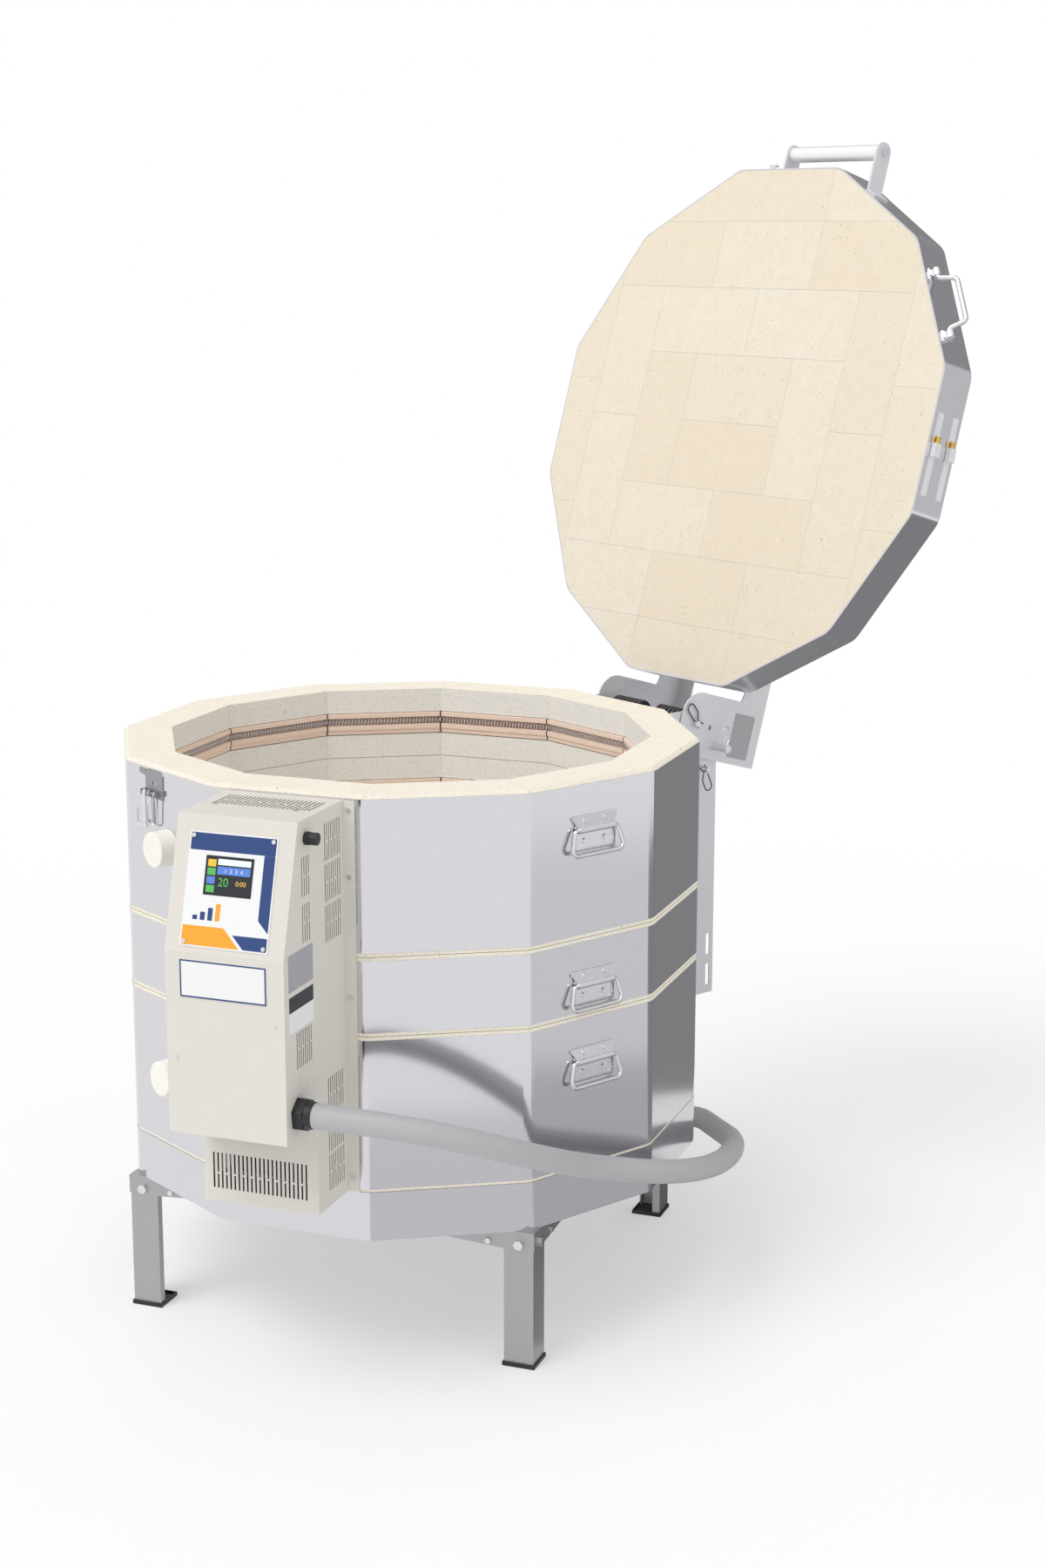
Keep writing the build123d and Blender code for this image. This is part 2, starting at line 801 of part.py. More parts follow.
# Draw latch on the upper jacket: base plate with lugs, a wire loop and a lever side by side
def latch_base():
    left = latch_offset - latch_width / 2
    right = latch_offset + latch_width / 2
    body = block(left, right, latch_top - latch_height, latch_top, 0, latch_plate)
    body = chamfer(body.edges().filter_by(Axis.Z).group_by(Axis.Y)[-1], latch_corner)
    keyhole = Pos(latch_offset, keyhole_height, 0) * Cylinder(keyhole_radius, 10)
    tab = plate([(left + 1, latch_top - 11), (left - 16, latch_top - 8), (left - 16, latch_top - 1),
                 (left + 1, latch_top - 2)], Plane.XY, latch_plate)
    for start, end in (lever_pin, loop_pin):
        body = body + across(start, end, latch_pin_height, latch_pin_out, latch_pin_radius)
        for x in (start, end - latch_plate):
            body = body + block(x, x + latch_plate, latch_pin_height - 4, latch_pin_height + 4,
                                0, latch_pin_out + 4)
    return body + tab - keyhole


def latch_loop():
    """A wire loop whose two eyes turn on their pin."""
    eye_bore = latch_pin_radius + latch_pin_clearance
    eye_radius = eye_bore + latch_wire
    top = latch_pin_height - eye_bore - latch_wire / 2
    foot = latch_pin_height - loop_length
    wires = []
    for x in (loop_centre - loop_half_width, loop_centre + loop_half_width):
        span = (x - latch_wire / 2, x + latch_wire / 2)
        wires.append(across(*span, latch_pin_height, latch_pin_out, eye_radius))
    points = [(loop_centre - loop_half_width, top, latch_pin_out),
              (loop_centre - loop_half_width, foot, latch_pin_out - 2),
              (loop_centre + loop_half_width, foot, latch_pin_out - 2),
              (loop_centre + loop_half_width, top, latch_pin_out)]
    wire = bent_wire(points, loop_half_width - 0.7, latch_wire / 2)
    bore = across(*loop_pin, latch_pin_height, latch_pin_out, eye_bore)
    return wires[0] + wires[1] + wire - bore


def latch_lever():
    """A pressed strip with a thumb bar at its foot and a thin arm at its head."""
    bore_radius = latch_pin_radius + latch_pin_clearance
    hub = across(lever_left, lever_right, latch_pin_height, latch_pin_out, bore_radius + lever_plate)
    out = latch_pin_out + bore_radius
    strip = block(lever_left, lever_right, lever_foot, latch_pin_height, out, out + lever_plate)
    thumb = block(thumb_left, lever_right + 3, lever_foot - thumb_height, lever_foot,
                  out, out + lever_plate + 1)
    post = block(thumb_left, thumb_left + lever_plate, lever_foot, lever_foot + thumb_post,
                 out, out + lever_plate)
    arm_height = latch_pin_height - lever_arm_drop
    arm = across(thumb_left, lever_left, arm_height, out + lever_plate / 2, lever_plate / 2)
    bore = across(lever_pin[0] - 1, lever_pin[1] + 1, latch_pin_height, latch_pin_out, bore_radius)
    return hub + strip + thumb + post + arm - bore


nodes["latch_base"] = [on_facet(latch_base(), latch_facet)]
nodes["latch_loop"] = [on_facet(latch_loop(), latch_facet)]
nodes["latch_lever"] = [on_facet(latch_lever(), latch_facet)]


# Control box: rear vent box on the jacket, slanted front cover before it
def vent_group(x0, pitch, columns, z0, z1, bridge_at, axis, low, high):
    """Slots in a wall: even columns run through, odd ones have a bridge."""
    cutters = []
    for index in range(columns):
        x = x0 + index * pitch
        spans = [(z0, z1)]
        if index % 2:
            spans = [(z0, bridge_at - vent_bridge / 2), (bridge_at + vent_bridge / 2, z1)]
        for start, end in spans:
            if axis == "side":
                cutters.append(block(low, high, x - vent_slot / 2, x + vent_slot / 2, start, end))
            elif axis == "front":
                cutters.append(block(x - vent_slot / 2, x + vent_slot / 2, low, high, start, end))
            else:
                cutters.append(block(x - vent_slot / 2, x + vent_slot / 2, start, end, low, high))
    return cutters


def box_rear_shell():
    t = box_sheet
    back = -jacket_apothem
    outer = block(box_left, box_right, box_split, back, box_base, box_top)
    inner = block(box_left + t, box_right - t, box_split + t, back + 1, box_base + t, box_top - t)
    window = block(box_left + 12, box_right - 12, box_split - 1, box_split + t + 1,
                   box_split_bottom + 22, box_top - 22)
    flanges = [block(x, x + box_flange, back - t, back, box_base, box_top)
               for x in (box_left - box_flange, box_right)]
    shell = outer - inner - window + flanges[0] + flanges[1]
    cutters = []
    for low, high in ((box_left - 1, box_left + t + 1), (box_right - t - 1, box_right + 1)):
        for top in (824, 767, 710, 466, 410, 354):
            cutters += vent_group(-490.5, 6.65, 8, top - vent_group_height, top, top - 26,
                                  "side", low, high)
    cutters += vent_group(-74, 6.42, 23, 299, 351, 321, "front", box_split - 1, box_split + t + 1)
    cutters += vent_group(-71, 6.42, 23, -508, -454, -482, "top", box_top - t - 1, box_top + 1)
    return shell - cutters


def cover_outline(grow=0.0):
    back = box_split + (30 if grow else 0)
    return [(back, box_top), (box_top_front, box_top), (box_front, box_bend),
            (box_front, box_front_bottom), (back, box_split_bottom)]


cover_plane = Plane(origin=(box_left, 0, 0), x_dir=(0, 1, 0), z_dir=(1, 0, 0))
slope_angle = degrees(atan2(box_top_front - box_front, box_top - box_bend))
panel_out = Vector(0, -cos(radians(slope_angle)), sin(radians(slope_angle)))
panel_plane = Plane(origin=(0, box_front, box_bend), x_dir=(1, 0, 0), z_dir=panel_out)


def panel_block(left, right, foot, head, low, high):
    """A box on the slanted face, x to the right, y up the slope, z outwards."""
    return panel_plane.location * block(left, right, foot, head, low, high)


def box_front_cover():
    t = box_sheet
    outer = plate(cover_outline(), cover_plane, box_right - box_left)
    inner_face = offset(make_face(cover_plane.offset(t) * Polyline(*cover_outline(1), close=True)), -t)
    inner = extrude(inner_face, amount=box_right - box_left - 2 * t, dir=(1, 0, 0))
    shell = outer - inner
    screen_hole = panel_block(screen_left - screen_play, screen_right + screen_play,
                              screen_foot - screen_play, screen_head + screen_play, -t - 1, 1)
    cutters = [screen_hole]
    for low, high in ((box_left - 1, box_left + t + 1), (box_right - t - 1, box_right + 1)):
        cutters += vent_group(-562, 6.8, 4, 740, 794, 767, "side", low, high)
        cutters += vent_group(-562, 6.8, 4, 677, 729.5, 703.5, "side", low, high)
        cutters += vent_group(-585.5, 6.2, 8, 509, 560, 536, "side", low, high)
    cutters.append(rod((box_right - 5, fuse_y, fuse_height), (box_right + 5, fuse_y, fuse_height),
                       fuse_stub_diameter / 2 + hole_clearance))
    cutters.append(rod((box_right - 5, gland_y, gland_height), (box_right + 5, gland_y, gland_height),
                       gland_thread_diameter / 2 + hole_clearance))
    return shell - cutters


nodes["box_rear_shell"] = [box_rear_shell()]
nodes["box_front_cover"] = [box_front_cover()]
panel = panel_block(panel_left, panel_right, panel_foot, panel_head, 0, panel_plate)
panel = panel - panel_block(screen_left - screen_play, screen_right + screen_play,
                            screen_foot - screen_play, screen_head + screen_play, -1, 3)
nodes["control_panel"] = [panel]
nodes["touch_screen"] = [panel_block(screen_left, screen_right, screen_foot, screen_head,
                                     -screen_body, panel_plate + screen_proud)]
board_inset = 18.0
board_thickness = 1.6
board_foot = 30.0
control_board = panel_block(box_left + board_inset, box_right - board_inset, board_foot, panel_head - 10,
                            -screen_body - board_thickness, -screen_body)
board_parts = [panel_block(x, x + 22, board_foot + 8, board_foot + 30, -screen_body - 14,
                           -screen_body - board_thickness) for x in (-60, -30, 10, 40)]
nodes["control_board"] = [control_board + board_parts]
nodes["name_plate"] = [block(name_left, name_right, box_front - panel_plate, box_front,
                             name_foot, name_head)]
panel_screw = extrude(Circle(panel_screw_diameter / 2), amount=panel_screw_head)
for x in (panel_left + panel_screw_inset, panel_right - panel_screw_inset):
    for y in (panel_foot + panel_screw_inset, panel_head - panel_screw_inset):
        fasteners.append(panel_plane.location * Pos(x, y, panel_plate) * panel_screw)

# Fuse holder and its turning cap
fuse_axis_start = box_right - 34
holder = rod((fuse_axis_start, fuse_y, fuse_height), (box_right + fuse_collar_length, fuse_y, fuse_height),
             fuse_stub_diameter / 2)
collar = rod((box_right, fuse_y, fuse_height), (box_right + fuse_collar_length, fuse_y, fuse_height),
             fuse_collar_diameter / 2)
nodes["fuse_holder"] = [holder + collar]
cap_start = box_right + fuse_collar_length + fuse_gap
nodes["fuse_cap"] = [rod((cap_start, fuse_y, fuse_height),
                         (cap_start + fuse_cap_length, fuse_y, fuse_height), fuse_cap_diameter / 2)]

# Cable gland: hex body outside, thread through the wall, locknut inside, bored for the cord
gland_x = (0, cos(radians(gland_turn)), -sin(radians(gland_turn)))
gland_plane = Plane(origin=(box_right, gland_y, gland_height), x_dir=gland_x, z_dir=(1, 0, 0))
gland = hexagon(gland_plane, gland_flats, gland_nut_length)
gland = gland + extrude(gland_plane * Circle(gland_thread_diameter / 2), amount=-gland_stub_length)
locknut = hexagon(gland_plane.offset(-box_sheet - gland_locknut_length), gland_locknut_flats,
                  gland_locknut_length)
gland_bore = extrude(gland_plane.offset(-20) * Circle(cord_diameter / 2 - 2), amount=60)
nodes["cable_gland"] = [gland + locknut - gland_bore]

# Inside the box: relays, transformer and main terminal block on the chassis, with their wires
relay_pitch = 52.0
chassis_y = -467.0
relays = []
for index in range(3):
    x = (index - 1) * relay_pitch
    body = block(x - 19, x + 19, -500, chassis_y, 560, 612)
    spades = [block(x + dx - 3, x + dx + 3, -508, -500, 566 + dz, 567 + dz)
              for dx in (-10, 10) for dz in (4, 34)]
    relays.append(body + spades)
nodes["relays"] = relays
core = block(-35, 35, -500, chassis_y, 480, 532)
winding = block(-22, 22, -510, chassis_y, 487, 525)
nodes["transformer"] = [core + winding]
terminal_base = block(-45, 45, -500, chassis_y, 425, 455)
terminal_screws = [rod((x, -504, 440), (x, -500, 440), 5) for x in (-28, 0, 28)]
nodes["terminal_block"] = [terminal_base + terminal_screws]
chassis = block(box_left + box_sheet, box_right - box_sheet, chassis_y, chassis_y + box_sheet, 420, 620)

# Free end screws on the box: top, flanges and front
flange_screws = [(x, z) for x in (box_right + box_flange / 2, box_left - box_flange / 2)
                 for z in flange_screw_heights]
for x, z in flange_screws:
    fasteners.append(rod((x, -jacket_apothem - box_sheet, z), (x, -jacket_apothem - box_sheet - 2, z), 3.5))
for x in (-66, 55):
    fasteners.append(rod((x, -513.5, box_top), (x, -513.5, box_top + 1.8), 3.5))
for x, z in ((72, 577), (-75, 519)):
    fasteners.append(rod((x, box_front, z), (x, box_front - 1.2, z), 2.5))

# Power cord: one tube on straight runs joined by tangent arcs
cord_points = [Vector(*point) for point in cord_route]
cord_runs = [(b - a).length for a, b in zip(cord_points, cord_points[1:])]
cord_radii = []
for index in range(1, len(cord_points) - 1):
    before = cord_points[index] - cord_points[index - 1]
    after = cord_points[index + 1] - cord_points[index]
    turn = before.get_angle(after)
    shorter = min(cord_runs[index - 1], cord_runs[index])
    cord_radii.append(0.45 * shorter / tan(radians(turn / 2)))
print("cord runs", [round(run) for run in cord_runs])
print("cord arc radii", [round(radius) for radius in cord_radii], "least wanted", 5 * cord_diameter)
cord_path = FilletPolyline(*cord_points, radius=cord_radii)
cord_section = Plane(origin=cord_path @ 0, z_dir=cord_path % 0) * Circle(cord_diameter / 2)
cord_tube = sweep(cord_section, path=cord_path)
print("cord length", round(cord_path.length), "volume over section times length",
      round(cord_tube.volume / (pi * cord_diameter ** 2 / 4 * cord_path.length), 4))
nodes["power_cord"] = [cord_tube]

# Plug at the cord's far end, lying on the floor
plug_direction = (cord_points[-1] - cord_points[-2]).normalized()
plug_flat = Vector(plug_direction.X, plug_direction.Y, 0).normalized()
plug_plane = Plane(origin=cord_points[-1], x_dir=Vector(-plug_flat.Y, plug_flat.X, 0), z_dir=plug_direction)
plug_outline = RectangleRounded(power_plug_width, power_plug_height, 12)
plug_body = extrude(plug_plane.offset(16) * plug_outline, amount=power_plug_length - 16)
plug_neck = extrude(plug_plane * Circle(cord_diameter / 2), amount=16)
nodes["power_plug"] = [plug_body + plug_neck]
plug_end = plug_plane.offset(power_plug_length)
blades = [extrude(plug_end * Pos(x, 2, 0) * Rectangle(power_blade_thickness, power_blade_height),
                  amount=power_blade_length) for x in (-power_blade_spacing / 2, power_blade_spacing / 2)]
ground = extrude(plug_end * Pos(0, -7, 0) * Circle(power_pin_diameter / 2), amount=power_blade_length + 3)
nodes["plug_blades"] = blades + [ground]


# Hinge: channel on the jacket, pivot and anchor rods, springs, R-clips
hinge_out = vector_at(hinge_facet)
hinge_right = vector_at(hinge_facet - 90)
hinge_line = Axis(hinge_out * pivot_out + Vector(0, 0, pivot_height), hinge_right)


def hinge_plane(t):
    """Plane square to the hinge line: x is the distance out from the kiln's axis, y the height."""
    return Plane(origin=hinge_right * t, x_dir=hinge_out, z_dir=hinge_right)


def hinge_point(n, z, t):
    """A point by distance out, height, and distance to the right along the hinge line."""
    return hinge_out * n + hinge_right * t + Vector(0, 0, z)


def hinge_rod(n, z, t0, t1, radius):
    return rod(hinge_point(n, z, t0), hinge_point(n, z, t1), radius)


def opened(shape):
    """Swing a piece of the closed lid to its open rest."""
    return shape.rotate(hinge_line, -lid_swing)


anchor = (pivot_out + anchor_out, pivot_height - anchor_down)
moving = (pivot_out + moving_rod_out, pivot_height + moving_rod_up)
moving_closed_angle = degrees(atan2(moving_rod_up, moving_rod_out))
moving_angle = moving_closed_angle - lid_swing
moving_distance = hypot(moving_rod_out, moving_rod_up)
ear_inner = channel_half_width + ear_gap
ear_outer = ear_inner + ear_thickness


def rod_notch():
    """Cutter for the notch in the channel's edges: the way of the lid's rod down to its stop."""
    plane = hinge_plane(-channel_half_width - 5)
    length = 2 * channel_half_width + 10
    pivot = Pos(pivot_out, pivot_height, 0)
    reach = moving_rod_radius + notch_clearance
    ring = Circle(moving_distance + reach) - Circle(moving_distance - reach)
    stop = radians(moving_angle)
    far = 2 * moving_distance
    way = make_face(Polyline((0, 0), (far * cos(stop), far * sin(stop)), (far, 0), close=True))
    seat = Pos(moving_distance * cos(stop), moving_distance * sin(stop), 0) * Circle(reach)
    return extrude(plane * pivot * ((ring & way) + seat), amount=length)


def hinge_channel():
    half, t = channel_half_width, channel_sheet
    web = plate([(jacket_apothem, channel_bottom), (jacket_apothem + t, channel_bottom),
                 (jacket_apothem + t, channel_top), (jacket_apothem, channel_top)],
                hinge_plane(-half), 2 * half)
    tip = jacket_apothem + channel_reach
    outline = [(jacket_apothem, channel_bottom), (tip, channel_bottom), (tip, channel_top),
               (jacket_apothem, channel_top)]
    shell = web
    for start in (-half, half - t):
        shell = shell + plate(outline, hinge_plane(start), t, radii=[(2, channel_corner_radius)])
    slots = []
    for height in channel_slot_heights:
        out = jacket_apothem + channel_slot_out
        slot = plate([(out - channel_slot_width / 2, height - channel_slot_length / 2),
                      (out + channel_slot_width / 2, height - channel_slot_length / 2),
                      (out + channel_slot_width / 2, height + channel_slot_length / 2),
                      (out - channel_slot_width / 2, height + channel_slot_length / 2)],
                     hinge_plane(-half - 5), 2 * half + 10)
        slots.append(slot)
    bores = [hinge_rod(pivot_out, pivot_height, -half - 5, half + 5, rod_radius),
             hinge_rod(*anchor, -half - 5, half + 5, rod_radius)]
    return shell - slots - bores - rod_notch()


nodes["hinge_channel"] = [hinge_channel()]


def r_clip(n, z, t, facing, rod_r):
    """A hairpin through a rod's cross hole; facing turns it about the rod."""
    hug = rod_r + clip_wire / 2 + 0.2
    local = [(0, -10), (0, 34), (15, 34), (15, 12), (hug, 0), (hug + 6, -12)]
    plane = hinge_plane(t)
    points = []
    for x, y in local:
        angle = radians(facing)
        points.append(hinge_point(n + x * cos(angle) - y * sin(angle),
                                  z + x * sin(angle) + y * cos(angle), t))
    wire = bent_wire(points, [7.2, 7.2, 5.0, 4.0], clip_wire / 2)
    along = (points[1] - points[0]).normalized()
    centre = hinge_point(n, z, t)
    hole = rod(centre - along * 12, centre + along * 12, clip_hole / 2)
    return wire, hole


rods = []
clips = []
rod_places = ((pivot_out, pivot_height), anchor)
rod_tails = (pivot_rod_tail, anchor_rod_tail)
for (n, z), tail, inset, facing in zip(rod_places, rod_tails, rod_clip_insets, rod_clip_facings):
    bar = hinge_rod(n, z, -channel_half_width - rod_overhang, channel_half_width + tail, rod_radius)
    for t in (channel_half_width + tail - inset, -channel_half_width - rod_overhang + far_clip_inset):
        clip, hole = r_clip(n, z, t, facing, rod_radius)
        clips.append(clip)
        bar = bar - hole
    rods.append(bar)
nodes["hinge_rods"] = rods
nodes["r_clips"] = clips


def leg_angle(distance_to_rod, radius_to_rod, rod_angle, side):
    """Angle of the coil's end so that its tangent leg just passes a rod."""
    along = sqrt(radius_to_rod ** 2 - distance_to_rod ** 2)
    return rod_angle + side * degrees(pi / 2 - atan2(distance_to_rod, along))


def biarc(p1, t1, p2, t2):
    """Two tangent arcs between two points with given directions."""
    v = p2 - p1
    t = t1 + t2
    a = 2 * (1 - t1.dot(t2))
    b = v.dot(t)
    d = (-b + sqrt(b * b + a * v.dot(v))) / a
    q1, q2 = p1 + t1 * d, p2 - t2 * d
    joint = (q1 + q2) * 0.5
    arcs = []
    for start, end, apex in ((p1, joint, q1), (joint, p2, q2)):
        chord_middle = (start + end) * 0.5
        half_chord = (end - start).length / 2
        tangent_length = (apex - start).length
        rise = half_chord * sqrt((tangent_length - half_chord) / (tangent_length + half_chord))
        arcs.append(ThreePointArc(start, chord_middle + (apex - chord_middle).normalized() * rise, end))
    return arcs


def spring_frame(theta, t):
    """Point on the coil's centre line and its direction, at an angle about the pivot."""
    point = hinge_point(pivot_out + spring_mean_radius * cos(theta),
                        pivot_height + spring_mean_radius * sin(theta), t)
    rise = spring_pitch / (2 * pi * spring_mean_radius)
    direction = hinge_out * -sin(theta) + Vector(0, 0, cos(theta)) + hinge_right * rise
    return point, direction.normalized()


touch_fixed = spring_mean_radius + rod_radius + spring_wire / 2 + spring_touch
touch_moving = spring_mean_radius + moving_rod_radius + spring_wire / 2 + spring_touch
anchor_angle = degrees(atan2(-anchor_down, anchor_out))
anchor_distance = hypot(anchor_out, anchor_down)
coil_start_angle = leg_angle(touch_fixed, anchor_distance, anchor_angle, 1)
coil_end_angle = leg_angle(touch_moving, moving_distance, moving_angle, -1) + 360 * spring_turns


def torsion_spring():
    """The fixed leg and the coil of the right-hand spring."""
    start, end = radians(coil_start_angle), radians(coil_end_angle)
    quarter_turns = ceil((end - start) / (pi / 2))
    step = (end - start) / quarter_turns
    edges = []
    for index in range(quarter_turns):
        a, b = start + index * step, start + (index + 1) * step
        p1, t1 = spring_frame(a, spring_start + spring_pitch * (a - start) / (2 * pi))
        p2, t2 = spring_frame(b, spring_start + spring_pitch * (b - start) / (2 * pi))
        edges += biarc(p1, t1, p2, t2)
    first, direction = spring_frame(start, spring_start)
    leg_length = sqrt(anchor_distance ** 2 - touch_fixed ** 2) + spring_leg_overrun
    leg_start = first - direction * leg_length
    path = Wire([Line(leg_start, first).edge()] + [arc.edge() for arc in edges])
    return sweep(Plane(origin=leg_start, z_dir=direction) * Circle(spring_wire / 2), path=path)


def moving_leg():
    """The other leg, which rides with the lid and pushes on its rod; drawn in the open pose."""
    end = radians(coil_end_angle)
    coil_length = spring_pitch * (coil_end_angle - coil_start_angle) / 360
    last, direction = spring_frame(end, spring_start + coil_length)
    leg_length = sqrt(moving_distance ** 2 - touch_moving ** 2) + spring_leg_overrun
    return rod(last, last + direction * leg_length, spring_wire / 2)


print("spring coil gap", round(spring_pitch * cos(atan2(spring_pitch, 2 * pi * spring_mean_radius))
                             - spring_wire, 2))
hinge_mirror = Plane(origin=(0, 0, 0), z_dir=hinge_right)
right_spring = torsion_spring()
nodes["torsion_springs"] = [right_spring, mirror(right_spring, about=hinge_mirror)]

# Moving rod between the hinge ears, its R-clips and the spring legs that push on it
moving_bar = hinge_rod(*moving, -ear_outer - rod_overhang, ear_outer + moving_rod_tail, moving_rod_radius)
moving_clips = []
for t in (ear_outer + moving_rod_tail - moving_clip_inset, -ear_outer - rod_overhang + far_clip_inset):
    clip, hole = r_clip(*moving, t, moving_clip_facing, moving_rod_radius)
    moving_clips.append(clip)
    moving_bar = moving_bar - hole
right_leg = moving_leg()
nodes["lid_spring_rod"] = [opened(moving_bar)] + [opened(clip) for clip in moving_clips]
nodes["lid_spring_rod"] += [right_leg, mirror(right_leg, about=hinge_mirror)]


# Hinge ears: a plate each side of the channel, bent over the top of the lid
def hinge_ear():
    outline = [(ear_front, lid_band_top - 3), (ear_front, ear_bottom), (ear_rear, ear_bottom),
               (ear_rear, ear_top), (ear_arm_front, ear_top), (ear_arm_front, lid_band_top + ear_seat_gap),
               (ear_front - 12, lid_band_top + ear_seat_gap)]
    cheek = plate(outline, hinge_plane(ear_inner), ear_thickness, radii=[(1, ear_corner_radius)])
    flange = plate([(ear_arm_front, ear_top - ear_thickness), (ear_rear, ear_top - ear_thickness),
                    (ear_rear, ear_top), (ear_arm_front, ear_top)],
                   hinge_plane(ear_outer - ear_flange_width), ear_flange_width)
    foot_low = lid_band_top + ear_seat_gap
    foot = plate([(ear_arm_front, foot_low), (lid_apothem - 8, foot_low),
                  (lid_apothem - 8, foot_low + ear_thickness), (ear_arm_front, foot_low + ear_thickness)],
                 hinge_plane(ear_outer - ear_foot_width), ear_foot_width)
    bores = [hinge_rod(pivot_out, pivot_height, 0, 150, rod_radius + rod_running_clearance),
             hinge_rod(*moving, 0, 150, moving_rod_radius),
             hinge_rod(pivot_out + ear_hole_out, pivot_height + ear_hole_up, 0, ear_outer + 1,
                       ear_hole_diameter / 2)]
    return cheek + flange + foot - bores


right_ear = hinge_ear()
nodes["lid_hinge_ears"] = [opened(right_ear), opened(mirror(right_ear, about=hinge_mirror))]

# Lid: brick slab in a sheet band whose lip turns in round the face, tightened by worm clamps
slab_apothem = lid_apothem - lid_band_thickness
lip_apothem = lid_apothem - lid_band_lip
lip_top = lid_bottom + lid_band_thickness
lid_radii = [lid_corner_radius - lid_apothem + apothem for apothem in (slab_apothem, lip_apothem)]
slab = polygon_ring(slab_apothem, 0, lip_top, lid_top, lid_radii[0])
slab = slab + polygon_ring(lip_apothem, 0, lid_bottom, lip_top, lid_radii[1])
nodes["lid_slab"] = [opened(slab)]
band = polygon_ring(lid_apothem, slab_apothem, lip_top, lid_band_top, lid_corner_radius, lid_radii[0])
band = band + polygon_ring(lid_apothem, lip_apothem, lid_bottom, lip_top, lid_corner_radius, lid_radii[1])
nodes["lid_band"] = [opened(band)]
nodes["lid_clamps"] = [opened(on_facet(piece, clamp_facet, lid_apothem))
                       for rise in lid_clamp_rises for piece in worm_clamp(lid_bottom + rise)]


# Bar handle: a round bar clamped by a long bolt between two brackets on neighbouring facets
def bar_bracket(t0, foot_facet, foot_start, foot_end):
    """An arm square to the bar with a foot flange on the lid's band."""
    low, high = bar_height - bar_bracket_half_height, bar_height + bar_bracket_half_height
    tip = bar_out + bar_bracket_half_height
    outline = [(-bar_arm_root, low), (-tip, low), (-tip, high), (-bar_arm_root, high)]
    arm = plate(outline, hinge_plane(t0), bar_bracket_thickness,
                radii=[(1, bar_bracket_half_height - 0.5), (2, bar_bracket_half_height - 0.5)])
    behind = block(-lid_apothem, lid_apothem, low - 5, high + 5, -lid_apothem, mount_gap)
    arm = arm - on_facet(behind, foot_facet, lid_apothem)
    foot = block(foot_start, foot_end, low, high, mount_gap, bar_foot_thickness)
    bore = hinge_rod(-bar_out, bar_height, t0 - 10, t0 + 20, bar_bolt_diameter / 2)
    return arm + on_facet(foot, foot_facet, lid_apothem) - bore


left_start = bar_left - bar_end_gap - bar_bracket_thickness
right_start = bar_right + bar_end_gap
right_root = (lid_apothem - right_start * sin(radians(30))) / cos(radians(30))
right_foot = right_start * cos(radians(30)) - right_root * sin(radians(30))
nodes["lid_handle_brackets"] = [
    opened(bar_bracket(left_start, latch_facet, left_start, left_start + bar_left_foot)),
    opened(bar_bracket(right_start, 270, right_foot - 1, right_foot + bar_foot_length))]
grip = hinge_rod(-bar_out, bar_height, bar_left, bar_right, bar_diameter / 2)
grip = grip - hinge_rod(-bar_out, bar_height, bar_left - 1, bar_right + 1,
                        bar_bolt_diameter / 2 + bar_bolt_clearance)
nodes["lid_handle_bar"] = [opened(grip)]
bar_bolt = hinge_rod(-bar_out, bar_height, left_start - bar_bolt_overhang,
                     right_start + bar_bracket_thickness + bar_bolt_overhang, bar_bolt_diameter / 2)
right_end = right_start + bar_bracket_thickness
for t, length in ((left_start, -bar_bolt_overhang), (right_end, bar_bolt_overhang)):
    bolt_end = Plane(origin=hinge_point(-bar_out, bar_height, t), x_dir=(0, 0, 1), z_dir=hinge_right)
    bar_bolt = bar_bolt + hexagon(bolt_end, stand_bolt_flats, length)


# Strike: a small hook above the draw latch
def latch_strike():
    left = strike_offset - strike_width / 2
    right = strike_offset + strike_width / 2
    top = strike_bottom + strike_height
    shelf = top - strike_tongue_drop
    foot = block(left, right, strike_bottom, top, mount_gap, strike_plate)
    tongue = block(left, right, shelf, shelf + strike_plate, mount_gap, strike_reach)
    lip = block(left, right, shelf, top, strike_reach - strike_plate, strike_reach)
    return foot + tongue + lip


# Side bail of the lid on its two clips
def side_clip(centre):
    """A plate on the band with a tube for the bail's stub, in facet coordinates."""
    left, right = centre - side_clip_length / 2, centre + side_clip_length / 2
    bore_radius = side_bail_wire / 2 + bail_clearance
    tube = across(left, right, side_bail_height, side_bail_stand_off, bore_radius + side_clip_wall)
    base = block(left, right, side_bail_height - side_clip_half_height,
                 side_bail_height + side_clip_half_height, mount_gap, side_clip_wall)
    bore = across(left - 1, right + 1, side_bail_height, side_bail_stand_off, bore_radius)
    return tube + base - bore


def side_bail():
    up = sin(radians(side_bail_raise)) * side_bail_reach
    out = cos(radians(side_bail_raise)) * side_bail_reach
    side = [(side_bail_stub, side_bail_height, side_bail_stand_off),
            (side_bail_neck, side_bail_height, side_bail_stand_off),
            (side_bail_bar, side_bail_height + up, side_bail_stand_off + out)]
    points = side + [(-x, y, z) for x, y, z in reversed(side)]
    return bent_wire(points, [5.0, 9.0, 9.0, 5.0], side_bail_wire / 2)


fittings = [on_facet(latch_strike(), latch_facet, lid_apothem)]
for side in (-1, 1):
    centre = side * (side_bail_stub - side_clip_length / 2)
    fittings.append(on_facet(side_clip(centre), side_bail_facet, lid_apothem))
fittings.append(bar_bolt)
nodes["lid_fittings"] = [opened(piece) for piece in fittings]
nodes["lid_side_bail"] = [opened(on_facet(side_bail(), side_bail_facet, lid_apothem))]
nodes["chassis_plate"] = [chassis]
nodes["fasteners"] = fasteners

